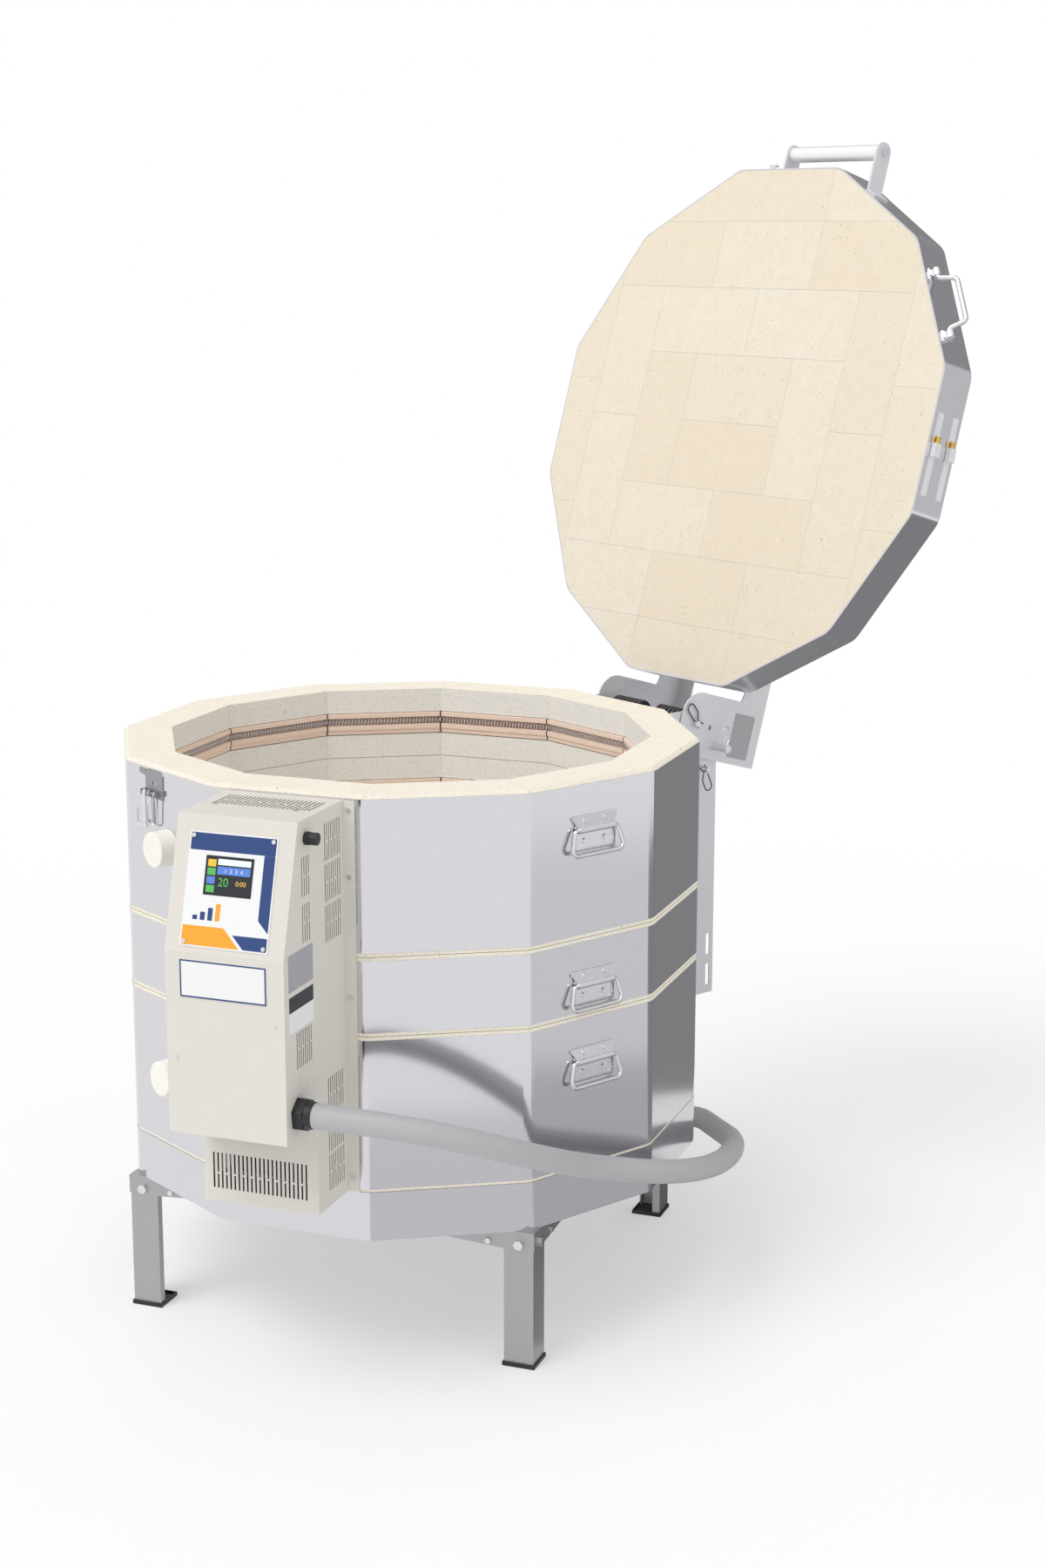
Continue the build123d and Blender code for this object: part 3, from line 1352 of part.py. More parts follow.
os.makedirs("parts", exist_ok=True)
for name, pieces in nodes.items():
    solids = []
    for piece in pieces:
        solids += piece.solids()
    export_step(Compound(solids) if len(solids) > 1 else solids[0], f"parts/{name}.step")
print(len(nodes), "nodes")
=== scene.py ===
import bmesh
import bpy
import math
import random
from mathutils import Matrix, Vector


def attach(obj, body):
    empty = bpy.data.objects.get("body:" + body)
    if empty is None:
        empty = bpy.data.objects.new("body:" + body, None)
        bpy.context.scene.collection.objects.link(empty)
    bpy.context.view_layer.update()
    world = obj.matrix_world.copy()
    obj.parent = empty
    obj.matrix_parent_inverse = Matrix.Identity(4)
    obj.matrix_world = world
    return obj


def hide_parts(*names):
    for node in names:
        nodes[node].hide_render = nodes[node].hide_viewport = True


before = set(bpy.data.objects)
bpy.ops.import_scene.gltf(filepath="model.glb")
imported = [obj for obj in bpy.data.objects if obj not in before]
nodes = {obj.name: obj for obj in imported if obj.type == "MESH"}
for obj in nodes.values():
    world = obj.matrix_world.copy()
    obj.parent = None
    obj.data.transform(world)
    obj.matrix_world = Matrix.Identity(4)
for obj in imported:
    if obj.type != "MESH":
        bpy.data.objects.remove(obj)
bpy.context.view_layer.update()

# Camera: the studio view of the kiln from a standing height, slightly to its right.
# Focal length and place come from the perspective of the brick courses.
image_width_px, image_height_px = 1200, 1800
focal_px = 2838.5
centre_px = (618.99, 874.54)
sensor_mm = 36.0
camera_data = bpy.data.cameras.new("studio_camera")
camera_data.sensor_fit = "VERTICAL"
camera_data.sensor_height = sensor_mm
camera_data.lens = focal_px * sensor_mm / image_height_px
camera_data.shift_x = (image_width_px / 2 - centre_px[0]) / image_height_px
camera_data.shift_y = (centre_px[1] - image_height_px / 2) / image_height_px
camera_data.clip_end = 100
camera = bpy.data.objects.new("studio_camera", camera_data)
camera.location = (1.46608, -3.41290, 1.59861)
camera.rotation_euler = [math.radians(angle) for angle in (77.916, -0.1288, 20.207)]
bpy.context.collection.objects.link(camera)
bpy.context.scene.camera = camera
bpy.context.scene.view_settings.view_transform = "Standard"


# Power cord: a thick flexible cord in a matt grey extruded jacket, moulded to its plug.
# It leaves the gland on the box's right side, swings round the kiln and runs down behind it.
def linear(hex_colour):
    """An sRGB hex colour as linear RGBA."""
    channels = []
    for index in (1, 3, 5):
        value = int(hex_colour[index:index + 2], 16) / 255
        channels.append(value / 12.92 if value <= 0.04045 else ((value + 0.055) / 1.055) ** 2.4)
    return (*channels, 1.0)


def finish(name):
    """A new material and its surface shader."""
    material = bpy.data.materials.new(name)
    material.use_nodes = True
    return material, material.node_tree.nodes["Principled BSDF"]


def add(owner, kind, settings=(), links=()):
    """A node of a material or world: settings are its attributes or inputs, links feed inputs."""
    node = owner.node_tree.nodes.new(kind)
    for key, value in dict(settings).items():
        if isinstance(key, str) and hasattr(node, key):
            setattr(node, key, value)
        else:
            node.inputs[key].default_value = value
    for key, socket in dict(links).items():
        owner.node_tree.links.new(socket, node.inputs[key])
    return node


def wear(material, shader, scale, colours, rough, bump, stretch=(1, 1, 1), detail=4.0):
    """Tone, roughness and bump from one noise of so many features per metre; gives the tone."""
    place = add(material, "ShaderNodeTexCoord")
    mapping = add(material, "ShaderNodeMapping", {"Scale": stretch}, {"Vector": place.outputs["Object"]})
    noise = add(material, "ShaderNodeTexNoise", {"Scale": scale, "Detail": detail},
                {"Vector": mapping.outputs["Vector"]})
    tone = add(material, "ShaderNodeMix",
               {"data_type": "RGBA", 6: linear(colours[0]), 7: linear(colours[1])},
               {0: noise.outputs["Fac"]})
    link = material.node_tree.links.new
    link(tone.outputs[2], shader.inputs["Base Color"])
    gloss = add(material, "ShaderNodeMapRange", {"To Min": rough[0], "To Max": rough[1]},
                {"Value": noise.outputs["Fac"]})
    link(gloss.outputs["Result"], shader.inputs["Roughness"])
    if bump:
        relief = add(material, "ShaderNodeBump", {"Strength": 0.5, "Distance": bump},
                     {"Height": noise.outputs["Fac"]})
        link(relief.outputs["Normal"], shader.inputs["Normal"])
    return tone.outputs[2]


cord_diameter = 0.035
cord_route = [(0.1109, -0.586, 0.4475), (0.219, -0.586, 0.4475), (0.313, -0.537, 0.421),
              (0.379, -0.436, 0.369), (0.407, -0.304, 0.312), (0.487, -0.171, 0.265),
              (0.510, -0.005, 0.222), (0.492, 0.148, 0.199), (0.424, 0.261, 0.175),
              (0.349, 0.408, 0.138), (0.262, 0.505, 0.082), (0.145, 0.575, 0.036),
              (0.010, 0.600, 0.018), (-0.110, 0.596, 0.0178)]
grey_pvc, grey_pvc_shader = finish("grey_pvc_jacket")
# extruded PVC: a faint matt texture about 1.5 mm across
wear(grey_pvc, grey_pvc_shader, 650, ("#adadb0", "#bbbbbe"), (0.48, 0.6), 0.0001)
cord_curve = bpy.data.curves.new("power_cord_jacket", "CURVE")
cord_curve.dimensions = "3D"
cord_spline = cord_curve.splines.new("NURBS")
cord_spline.points.add(len(cord_route) - 1)
for point, place in zip(cord_spline.points, cord_route):
    point.co = (*place, 1.0)
cord_spline.order_u = 3
cord_spline.use_endpoint_u = True
cord_spline.resolution_u = 16
cord_curve.bevel_depth = cord_diameter / 2
cord_curve.bevel_resolution = 8
cord_curve.use_fill_caps = True
cord_curve.materials.append(grey_pvc)
cord = bpy.data.objects.new("power_cord_jacket", cord_curve)
bpy.context.collection.objects.link(cord)
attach(cord, "kiln")
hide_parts("power_cord")

# Studio: a pale seamless floor that fades into white, a white dome and one soft key light.
# Glowing cards and floor sheets of plain greys stand where only the bright metal mirrors them: they are
# painted reflections.
scene_world = bpy.data.worlds.new("studio")
bpy.context.scene.world = scene_world
scene_world.use_nodes = True
dome = scene_world.node_tree.nodes["Background"]
dome.inputs["Color"].default_value = (1, 1, 1, 1)
dome_light, dome_seen = 0.71, 1.0


def direct_view(owner):
    """A socket that is 1 for camera, mirror and see-through rays, 0 for the rest."""
    rays = add(owner, "ShaderNodeLightPath")
    seen_or_mirrored = add(owner, "ShaderNodeMath", {"operation": "MAXIMUM"},
                           {0: rays.outputs["Is Camera Ray"], 1: rays.outputs["Is Glossy Ray"]})
    direct = add(owner, "ShaderNodeMath", {"operation": "MAXIMUM"},
                 {0: seen_or_mirrored.outputs[0], 1: rays.outputs["Is Transmission Ray"]})
    return direct.outputs[0]


level = add(scene_world, "ShaderNodeMapRange", {"To Min": dome_light, "To Max": dome_seen},
            {"Value": direct_view(scene_world)})
scene_world.node_tree.links.new(level.outputs["Result"], dome.inputs["Strength"])

bpy.ops.object.select_all(action="DESELECT")
bpy.ops.mesh.primitive_circle_add(vertices=96, radius=30, fill_type="NGON")
floor = bpy.context.active_object
floor.name = "studio_floor"
floor_paint, floor_shader = finish("white_floor_paint")
wear(floor_paint, floor_shader, 3, ("#fafafa", "#fdfdfd"), (0.8, 0.9), 0)
floor_shader.inputs["Specular IOR Level"].default_value = 0.2
# the paint glows where it is looked at, about a third as much near the kiln, which paints the kiln's
# shadow lighter, and fully from 3 m out, so the floor has no horizon
floor_place = add(floor_paint, "ShaderNodeTexCoord")
floor_reach = add(floor_paint, "ShaderNodeVectorMath", {"operation": "LENGTH"},
                  {0: floor_place.outputs["Object"]})
floor_fade = add(floor_paint, "ShaderNodeMapRange",
                 {"From Min": 1.1, "From Max": 3.0, "To Min": 0.36, "To Max": 1.0},
                 {"Value": floor_reach.outputs["Value"]})
floor_share = add(floor_paint, "ShaderNodeMath", {"operation": "MULTIPLY"},
                  {0: floor_fade.outputs["Result"], 1: direct_view(floor_paint)})
floor_glow = add(floor_paint, "ShaderNodeEmission", {"Color": (1, 1, 1, 1)})
floor_mix = add(floor_paint, "ShaderNodeMixShader", {},
                {0: floor_share.outputs[0], 1: floor_shader.outputs[0], 2: floor_glow.outputs[0]})
floor_output = floor_paint.node_tree.nodes["Material Output"]
floor_paint.node_tree.links.new(floor_mix.outputs[0], floor_output.inputs["Surface"])
floor.data.materials.append(floor_paint)

key_data = bpy.data.lights.new("key_light", "SUN")
key_data.energy = 1.2
key_data.angle = math.radians(35)
key = bpy.data.objects.new("key_light", key_data)
key.rotation_euler = (math.radians(30), math.radians(-17), 0)
bpy.context.collection.objects.link(key)


def glow_card(name, tone, start, stop, rings):
    """A glowing grey sheet round the kiln, a painted reflection seen only by mirror rays, between two
    bearings, through rings of radius and height.
    """
    steps = 24
    verts = []
    faces = []
    for radius, height in rings:
        for index in range(steps + 1):
            turn = math.radians(start + (stop - start) * index / steps)
            verts.append((radius * math.cos(turn), radius * math.sin(turn), height))
    for row in range(len(rings) - 1):
        for index in range(steps):
            corner = row * (steps + 1) + index
            above = corner + steps + 1
            faces.append((corner, corner + 1, above + 1, above))
    mesh = bpy.data.meshes.new(name)
    mesh.from_pydata(verts, [], faces)
    sheet = bpy.data.objects.new(name, mesh)
    bpy.context.collection.objects.link(sheet)
    card_glow, card_glow_shader = finish(f"{name}_mirror_glow")
    card_glow_shader.inputs["Base Color"].default_value = (0, 0, 0, 1)
    card_glow_shader.inputs["Specular IOR Level"].default_value = 0.0
    # the sheet has no colour of its own and only glows: a painted reflection for the metal
    card_glow_shader.inputs["Emission Color"].default_value = (tone, tone, tone * 1.02, 1)
    card_glow_shader.inputs["Emission Strength"].default_value = 1.0
    mesh.materials.append(card_glow)
    sheet.visible_camera = sheet.visible_transmission = False
    sheet.visible_diffuse = sheet.visible_shadow = False


# the glowing cards stand on a ring 3.4 m out and part at a height of 2.4 m, the glowing sheets lie just
# off the floor
far, part, lie = 3.4, 2.4, 0.003
glow_card("back_glow_card", 0.27, 40, 125, [(1.1, lie), (far, lie), (far, part)])
glow_card("high_glow_card", 0.34, 28, 125, [(far, part), (far, 4.2)])
glow_card("side_glow_card", 0.68, 0, 40, [(far, 0.45), (far, part)])
glow_card("side_sheet_near", 0.52, -20, 14, [(0.75, lie), (1.6, lie)])
glow_card("side_sheet_far", 0.78, -20, 14, [(1.6, lie), (far, lie)])
glow_card("corner_sheet", 0.28, 14, 40, [(0.75, lie), (far, lie)])
glow_card("leg_sheet", 0.14, -35, 110, [(0.42, lie), (0.75, lie)])
glow_card("front_sheet", 0.71, -75, -20, [(0.75, lie), (1.5, lie)])


def dress(material, *names):
    """Give CAD nodes a finish."""
    for name in names:
        piece = nodes[name]
        piece.data.materials.clear()
        piece.data.materials.append(material)


galvanised, galvanised_shader = finish("galvanised_sheet_steel")
galvanised_shader.inputs["Metallic"].default_value = 1.0
# zinc spangle of a few millimetres, dulled
wear(galvanised, galvanised_shader, 220, ("#a6a8a9", "#b8b9ba"), (0.38, 0.52), 0.00004)
dress(galvanised, "leg_front_left", "leg_front_right", "leg_rear_left", "leg_rear_right",
      "stand_brackets", "chassis_plate")
# electroplated zinc: bright and slightly blue, with soft mirrors
zinc, zinc_shader = finish("bright_zinc_plate")
zinc_shader.inputs["Metallic"].default_value = 1.0
wear(zinc, zinc_shader, 120, ("#d8d8db", "#e4e4e6"), (0.2, 0.28), 0)
dress(zinc, "fasteners", "handle_plates", "latch_lever", "latch_loop", "jacket_clamps", "hinge_rods",
      "lid_spring_rod", "lid_fittings")
# ABS from a spark-eroded mould: near black, half matt, grained about 1 mm across
black_abs, black_abs_shader = finish("black_moulded_abs")
wear(black_abs, black_abs_shader, 900, ("#1c1c1e", "#242426"), (0.42, 0.55), 0.00005)
dress(black_abs, "foot_caps", "fuse_holder", "fuse_cap", "relays", "terminal_block", "power_plug")

# Wall: insulating firebrick, sawn and mitred, cream and full of fine pores.
# Dark specks are iron spots a millimetre or two across; joints are fine dry lines.
course = 0.1143
wall_foot = 0.280
wall_top = wall_foot + 5 * course
hot_reach = 0.372
firebrick, firebrick_shader = finish("insulating_firebrick")
brick_tone = wear(firebrick, firebrick_shader, 30, ("#f8f2e4", "#f0e8d8"), (0.85, 0.95), 0, detail=8.0)
brick_place = add(firebrick, "ShaderNodeTexCoord")
pores = add(firebrick, "ShaderNodeTexVoronoi", {"Scale": 260}, {"Vector": brick_place.outputs["Object"]})
spot_size = add(firebrick, "ShaderNodeTexNoise", {"Scale": 55, "Detail": 2.0},
                {"Vector": brick_place.outputs["Object"]})
spot_edge = add(firebrick, "ShaderNodeMapRange",
                {"From Min": 0.60, "From Max": 0.72, "To Min": 0.0, "To Max": 0.24},
                {"Value": spot_size.outputs["Fac"]})
spots = add(firebrick, "ShaderNodeMath", {"operation": "LESS_THAN"},
            {0: pores.outputs["Distance"], 1: spot_edge.outputs["Result"]})
brick_axes = add(firebrick, "ShaderNodeSeparateXYZ", {}, {"Vector": brick_place.outputs["Object"]})


def mitre(material, half_width):
    """1 within a half width of the wall's twelve upright corners, in facets 195 mm wide."""
    place = add(material, "ShaderNodeTexCoord")
    axes = add(material, "ShaderNodeSeparateXYZ", {}, {"Vector": place.outputs["Object"]})
    around = add(material, "ShaderNodeMath", {"operation": "ARCTAN2"},
                 {0: axes.outputs["Y"], 1: axes.outputs["X"]})
    # counted in facets, the corners fall on whole numbers
    share = add(material, "ShaderNodeMath", {"operation": "MULTIPLY_ADD", 1: 6 / math.pi, 2: 5.5},
                {0: around.outputs[0]})
    distance = add(material, "ShaderNodeMath", {"operation": "PINGPONG", 1: 0.5}, {0: share.outputs[0]})
    return add(material, "ShaderNodeMath", {"operation": "LESS_THAN", 1: half_width},
               {0: distance.outputs[0]}).outputs[0]


# the dry beds are lines 1 mm wide between the courses, and the rim carries none
up_share = add(firebrick, "ShaderNodeMath",
               {"operation": "MULTIPLY_ADD", 1: 1 / course, 2: -wall_foot / course},
               {0: brick_axes.outputs["Z"]})
to_course = add(firebrick, "ShaderNodeMath", {"operation": "PINGPONG", 1: 0.5}, {0: up_share.outputs[0]})
course_line = add(firebrick, "ShaderNodeMath", {"operation": "LESS_THAN", 1: 0.0045},
                  {0: to_course.outputs[0]})
below_rim = add(firebrick, "ShaderNodeMath", {"operation": "LESS_THAN", 1: wall_top - 0.0025},
                {0: brick_axes.outputs["Z"]})
rim_free = add(firebrick, "ShaderNodeMath", {"operation": "MULTIPLY"},
               {0: course_line.outputs[0], 1: below_rim.outputs[0]})
# the hot face, within 372 mm of the axis and below the rim, is painted a lighter, cooler white that makes
# up for the shade and warm bounce light in the chamber
flat_reach = add(firebrick, "ShaderNodeVectorMath", {"operation": "MULTIPLY", 1: (1, 1, 0)},
                 {0: brick_place.outputs["Object"]})
reach_out = add(firebrick, "ShaderNodeVectorMath", {"operation": "LENGTH"},
                {0: flat_reach.outputs["Vector"]})
near_axis = add(firebrick, "ShaderNodeMath", {"operation": "LESS_THAN", 1: hot_reach},
                {0: reach_out.outputs["Value"]})
below_top = add(firebrick, "ShaderNodeMath", {"operation": "LESS_THAN", 1: wall_top - 0.0003},
                {0: brick_axes.outputs["Z"]})
# the floor slab's top, level with the lowest bed, carries no line
above_slab = add(firebrick, "ShaderNodeMath", {"operation": "GREATER_THAN", 1: wall_foot + 0.0035},
                 {0: brick_axes.outputs["Z"]})
in_wall = add(firebrick, "ShaderNodeMath", {"operation": "GREATER_THAN", 1: hot_reach},
              {0: reach_out.outputs["Value"]})
off_slab = add(firebrick, "ShaderNodeMath", {"operation": "MAXIMUM"},
               {0: above_slab.outputs[0], 1: in_wall.outputs[0]})
bed_line = add(firebrick, "ShaderNodeMath", {"operation": "MULTIPLY"},
               {0: rim_free.outputs[0], 1: off_slab.outputs[0]})
brightened_hot_face = add(firebrick, "ShaderNodeMath", {"operation": "MULTIPLY"},
               {0: near_axis.outputs[0], 1: below_top.outputs[0]})
# painted light: the hot face is lightened against the chamber's shade
brightened_brick = add(firebrick, "ShaderNodeMix", {"data_type": "RGBA", 7: linear("#f6f4ee")},
            {0: brightened_hot_face.outputs[0], 6: brick_tone})
mitred_brick = add(firebrick, "ShaderNodeMix", {"data_type": "RGBA", 7: linear("#dcd3c2")},
                   {0: mitre(firebrick, 0.0016), 6: brightened_brick.outputs[2]})
jointed = add(firebrick, "ShaderNodeMix", {"data_type": "RGBA", 7: linear("#a0967f")},
              {0: bed_line.outputs[0], 6: mitred_brick.outputs[2]})
spotted = add(firebrick, "ShaderNodeMix", {"data_type": "RGBA", 7: linear("#8f8068")},
              {0: spots.outputs[0], 6: jointed.outputs[2]})
# grey-green ash specks about 1 mm across, a few to the square centimetre
ash = add(firebrick, "ShaderNodeTexVoronoi", {"Scale": 300}, {"Vector": brick_place.outputs["Object"]})
ash_specks = add(firebrick, "ShaderNodeMath", {"operation": "LESS_THAN", 1: 0.19},
                 {0: ash.outputs["Distance"]})
ashen = add(firebrick, "ShaderNodeMix", {"data_type": "RGBA", 7: linear("#bab5a0")},
            {0: ash_specks.outputs[0], 6: spotted.outputs[2]})
firebrick.node_tree.links.new(ashen.outputs[2], firebrick_shader.inputs["Base Color"])
grain = add(firebrick, "ShaderNodeTexNoise", {"Scale": 900, "Detail": 6.0},
            {"Vector": brick_place.outputs["Object"]})
brick_relief = add(firebrick, "ShaderNodeBump", {"Strength": 0.4, "Distance": 0.0003},
                   {"Height": grain.outputs["Fac"]})
firebrick.node_tree.links.new(brick_relief.outputs["Normal"], firebrick_shader.inputs["Normal"])
dress(firebrick, "bricks_lower", "bricks_middle", "bricks_upper", "floor_slab")

# Element holders: hard fired ceramic channels, pale pink, butted at the corners, where the open mitres are
# painted dark as shade.
# Bright coils of resistance wire lie in them, one ring to a course, wound like a long spring.
# fired ceramic: an even pale pink, matt and slightly rough
holder_ceramic, holder_shader = finish("fired_holder_ceramic")
holder_tone = wear(holder_ceramic, holder_shader, 120, ("#fbe6d6", "#f5dac7"), (0.6, 0.75), 0.0001)
# open mitres about 2 mm wide, painted near black for the shade inside the gaps
mitre_gap_shade = add(holder_ceramic, "ShaderNodeMix", {"data_type": "RGBA", 7: linear("#2b2522")},
             {0: mitre(holder_ceramic, 0.006), 6: holder_tone})
holder_ceramic.node_tree.links.new(mitre_gap_shade.outputs[2], holder_shader.inputs["Base Color"])
dress(holder_ceramic, "element_holders")
# pressed and fired ceramic of plugs and insulators: chalky off-white
white_ceramic, white_ceramic_shader = finish("pressed_white_ceramic")
wear(white_ceramic, white_ceramic_shader, 180, ("#f9f7f0", "#f1eee5"), (0.6, 0.75), 0.00015)
dress(white_ceramic, "terminal_insulators", "thermocouples", "peephole_plug_upper",
      "peephole_plug_lower")
# new resistance wire: pale grey and silky, not yet dulled by firing
coil_wire, coil_shader = finish("bright_resistance_wire")
coil_shader.inputs["Metallic"].default_value = 0.3
wear(coil_wire, coil_shader, 300, ("#ececf2", "#f6f6fa"), (0.3, 0.4), 0)
dress(coil_wire, "element_terminals")
coil_apothem = 0.3632
coil_radius = 0.0045
coil_wire_radius = 0.0010
coil_pitch = 0.0054
coil_half_gap = 0.025
wire_points_a_turn = 8
# each ring sits 3.3 mm above the middle of its course
coil_heights = [wall_foot + course * (index + 0.5) + 0.0033 for index in range(5)]
ring_corner = coil_apothem / math.cos(math.radians(15))
ring_points = [Vector((coil_half_gap, -coil_apothem, 0))]
for index in range(12):
    angle = math.radians(285 + 30 * index)
    ring_points.append(Vector((ring_corner * math.cos(angle), ring_corner * math.sin(angle), 0)))
ring_points.append(Vector((-coil_half_gap, -coil_apothem, 0)))
for row, height in enumerate(coil_heights):
    wire = bpy.data.curves.new(f"element_coil_{row + 1}", "CURVE")
    wire.dimensions = "3D"
    turns = []
    travelled = 0.0
    for start, end in zip(ring_points, ring_points[1:]):
        run = (end - start).length
        along = (end - start).normalized()
        outward = Vector((along.y, -along.x, 0))
        steps = int(run / coil_pitch * wire_points_a_turn)
        for step in range(steps):
            at = run * step / steps
            phase = (travelled + at) / coil_pitch * 2 * math.pi
            aside = outward * math.cos(phase) * coil_radius
            rise = Vector((0, 0, math.sin(phase) * coil_radius))
            turns.append(start + along * at + (aside + rise) + Vector((0, 0, height)))
        travelled += run
    spline = wire.splines.new("POLY")
    spline.points.add(len(turns) - 1)
    for point, place in zip(spline.points, turns):
        point.co = (*place, 1.0)
    wire.bevel_depth = coil_wire_radius
    wire.bevel_resolution = 0
    loose = bpy.data.objects.new("coil_curve", wire)
    bpy.context.collection.objects.link(loose)
    coil_mesh = bpy.data.meshes.new_from_object(loose)
    bpy.data.objects.remove(loose)
    coil = bpy.data.objects.new(f"element_coil_{row + 1}", coil_mesh)
    bpy.context.collection.objects.link(coil)
    coil_mesh.materials.clear()
    coil_mesh.materials.append(coil_wire)
    for face in coil_mesh.polygons:
        face.use_smooth = True
    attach(coil, "kiln")
    if row == 0:
        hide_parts("heating_elements")

# Jackets: stainless sheet folded to twelve flats and drawn tight round the bricks by band clamps.
# It has a fine rolled grain and is near-mirror when clean, so it takes its tones from the room.
stainless, stainless_shader = finish("rolled_stainless_sheet")
stainless_shader.inputs["Metallic"].default_value = 1.0
# grain lines run round the kiln: stretched about 17 times along the sheet
wear(stainless, stainless_shader, 700, ("#d3d2d6", "#dad9dd"), (0.11, 0.15), 0.00001,
     stretch=(0.06, 0.06, 1))
dress(stainless, "jacket_lower", "jacket_middle", "jacket_upper", "floor_pan", "lid_band")
# the hinge, its ears and the brackets of the bar are dull, light sheet zinc
satin_zinc, satin_shader = finish("dull_zinc_plate")
satin_shader.inputs["Metallic"].default_value = 0.4
wear(satin_zinc, satin_shader, 300, ("#d9d9dd", "#e0e0e4"), (0.45, 0.55), 0.00002)
dress(satin_zinc, "hinge_channel", "lid_hinge_ears", "lid_handle_brackets")
# the draw latch's base is darker and quite matt
latch_zinc, latch_shader = finish("dark_matt_zinc")
latch_shader.inputs["Metallic"].default_value = 0.6
wear(latch_zinc, latch_shader, 300, ("#98989d", "#a2a2a7"), (0.45, 0.55), 0.00002)
dress(latch_zinc, "latch_base")

# Wire bails, bar and springs: bent steel wire and round bar, plated or oiled.
# The bails turn in their plates and clips, and the bar is bolted between its two brackets.
# bright nickel on drawn wire: smooth, with light and dark streaks
chrome, chrome_shader = finish("bright_nickel_wire")
chrome_shader.inputs["Metallic"].default_value = 1.0
wear(chrome, chrome_shader, 200, ("#d6d6d8", "#e0e0e2"), (0.16, 0.24), 0)
dress(chrome, "handle_bail_upper", "handle_bail_middle", "handle_bail_lower", "lid_side_bail")
# satin nickel: almost white, with a broad soft shine
bar_steel, bar_shader = finish("satin_nickel_bar")
bar_shader.inputs["Metallic"].default_value = 0.6
wear(bar_steel, bar_shader, 300, ("#f4f5f5", "#fafbfa"), (0.3, 0.4), 0.00001)
dress(bar_steel, "lid_handle_bar")
# spring wire under oil: dark grey with a dull shine
spring_steel, spring_shader = finish("oiled_spring_steel")
spring_shader.inputs["Metallic"].default_value = 1.0
wear(spring_steel, spring_shader, 300, ("#4a4b4f", "#5c5d61"), (0.3, 0.42), 0.00002)
dress(spring_steel, "torsion_springs", "r_clips")
# yellow passivated zinc: a warm brassy colour
gold_zinc, gold_shader = finish("yellow_passivated_zinc")
gold_shader.inputs["Metallic"].default_value = 1.0
wear(gold_zinc, gold_shader, 400, ("#c9a244", "#d9b65c"), (0.25, 0.38), 0.00002)
dress(gold_zinc, "plug_blades")

# Control box: folded steel in a warm off-white powder coat with a fine orange-peel texture.
# The printed panel carries plain blocks of colour, the nameplate is left bare.
box_middle, box_half_width = -0.0016, 0.0875
box_right = box_middle + box_half_width
box_foot, box_top, box_front = 0.2800, 0.8438, -0.6217
slope_foot, slope_top_y = 0.6673, -0.5716
split_foot, split_front = 0.398, -0.527
slope = math.atan2(slope_top_y - box_front, box_top - slope_foot)
inside_depth = 0.0008
powder_coat, powder_shader = finish("off_white_powder_coat")
# orange peel about 1 mm across
coat_colour = wear(powder_coat, powder_shader, 1000, ("#e3dfd7", "#dedad2"), (0.42, 0.5), 0.00008)
# outlines of two knock-outs pressed part through the right side, 11 and 24 mm across, painted as thin
# darker rings for the shade in their grooves
coat_place = add(powder_coat, "ShaderNodeTexCoord")
coat_axes = add(powder_coat, "ShaderNodeSeparateXYZ", {}, {"Vector": coat_place.outputs["Object"]})
on_side = add(powder_coat, "ShaderNodeMath", {"operation": "GREATER_THAN", 1: box_right - 0.0004},
              {0: coat_axes.outputs["X"]})
flat_place = add(powder_coat, "ShaderNodeVectorMath", {"operation": "MULTIPLY", 1: (0, 1, 1)},
                 {0: coat_place.outputs["Object"]})
for middle, radius in (((0, -0.578, 0.4948), 0.0055), ((0, -0.548, 0.473), 0.012)):
    reach = add(powder_coat, "ShaderNodeVectorMath", {"operation": "DISTANCE", 1: middle},
                {0: flat_place.outputs["Vector"]})
    ring = add(powder_coat, "ShaderNodeMath", {"operation": "COMPARE", 1: radius, 2: 0.0004},
               {0: reach.outputs["Value"]})
    groove_shade = add(powder_coat, "ShaderNodeMath", {"operation": "MULTIPLY"},
                  {0: ring.outputs[0], 1: on_side.outputs[0]})
    # painted shade: each ring is drawn darker where the pressed groove lies in shade
    groove_shaded = add(powder_coat, "ShaderNodeMix", {"data_type": "RGBA", 7: linear("#cac6be")},
                 {0: groove_shade.outputs[0], 6: coat_colour})
    coat_colour = groove_shaded.outputs[2]
# the inside, 0.8 mm and more behind the outer faces, is painted dark grey as the shade inside the box
across = add(powder_coat, "ShaderNodeMath", {"operation": "SUBTRACT", 1: box_middle},
             {0: coat_axes.outputs["X"]})
off_middle = add(powder_coat, "ShaderNodeMath", {"operation": "ABSOLUTE"}, {0: across.outputs[0]})
off_slope = add(powder_coat, "ShaderNodeVectorMath",
                {"operation": "DOT_PRODUCT", 1: (0, -math.cos(slope), math.sin(slope))},
                {0: coat_place.outputs["Object"]})
slope_face = slope_foot * math.sin(slope) - box_front * math.cos(slope)
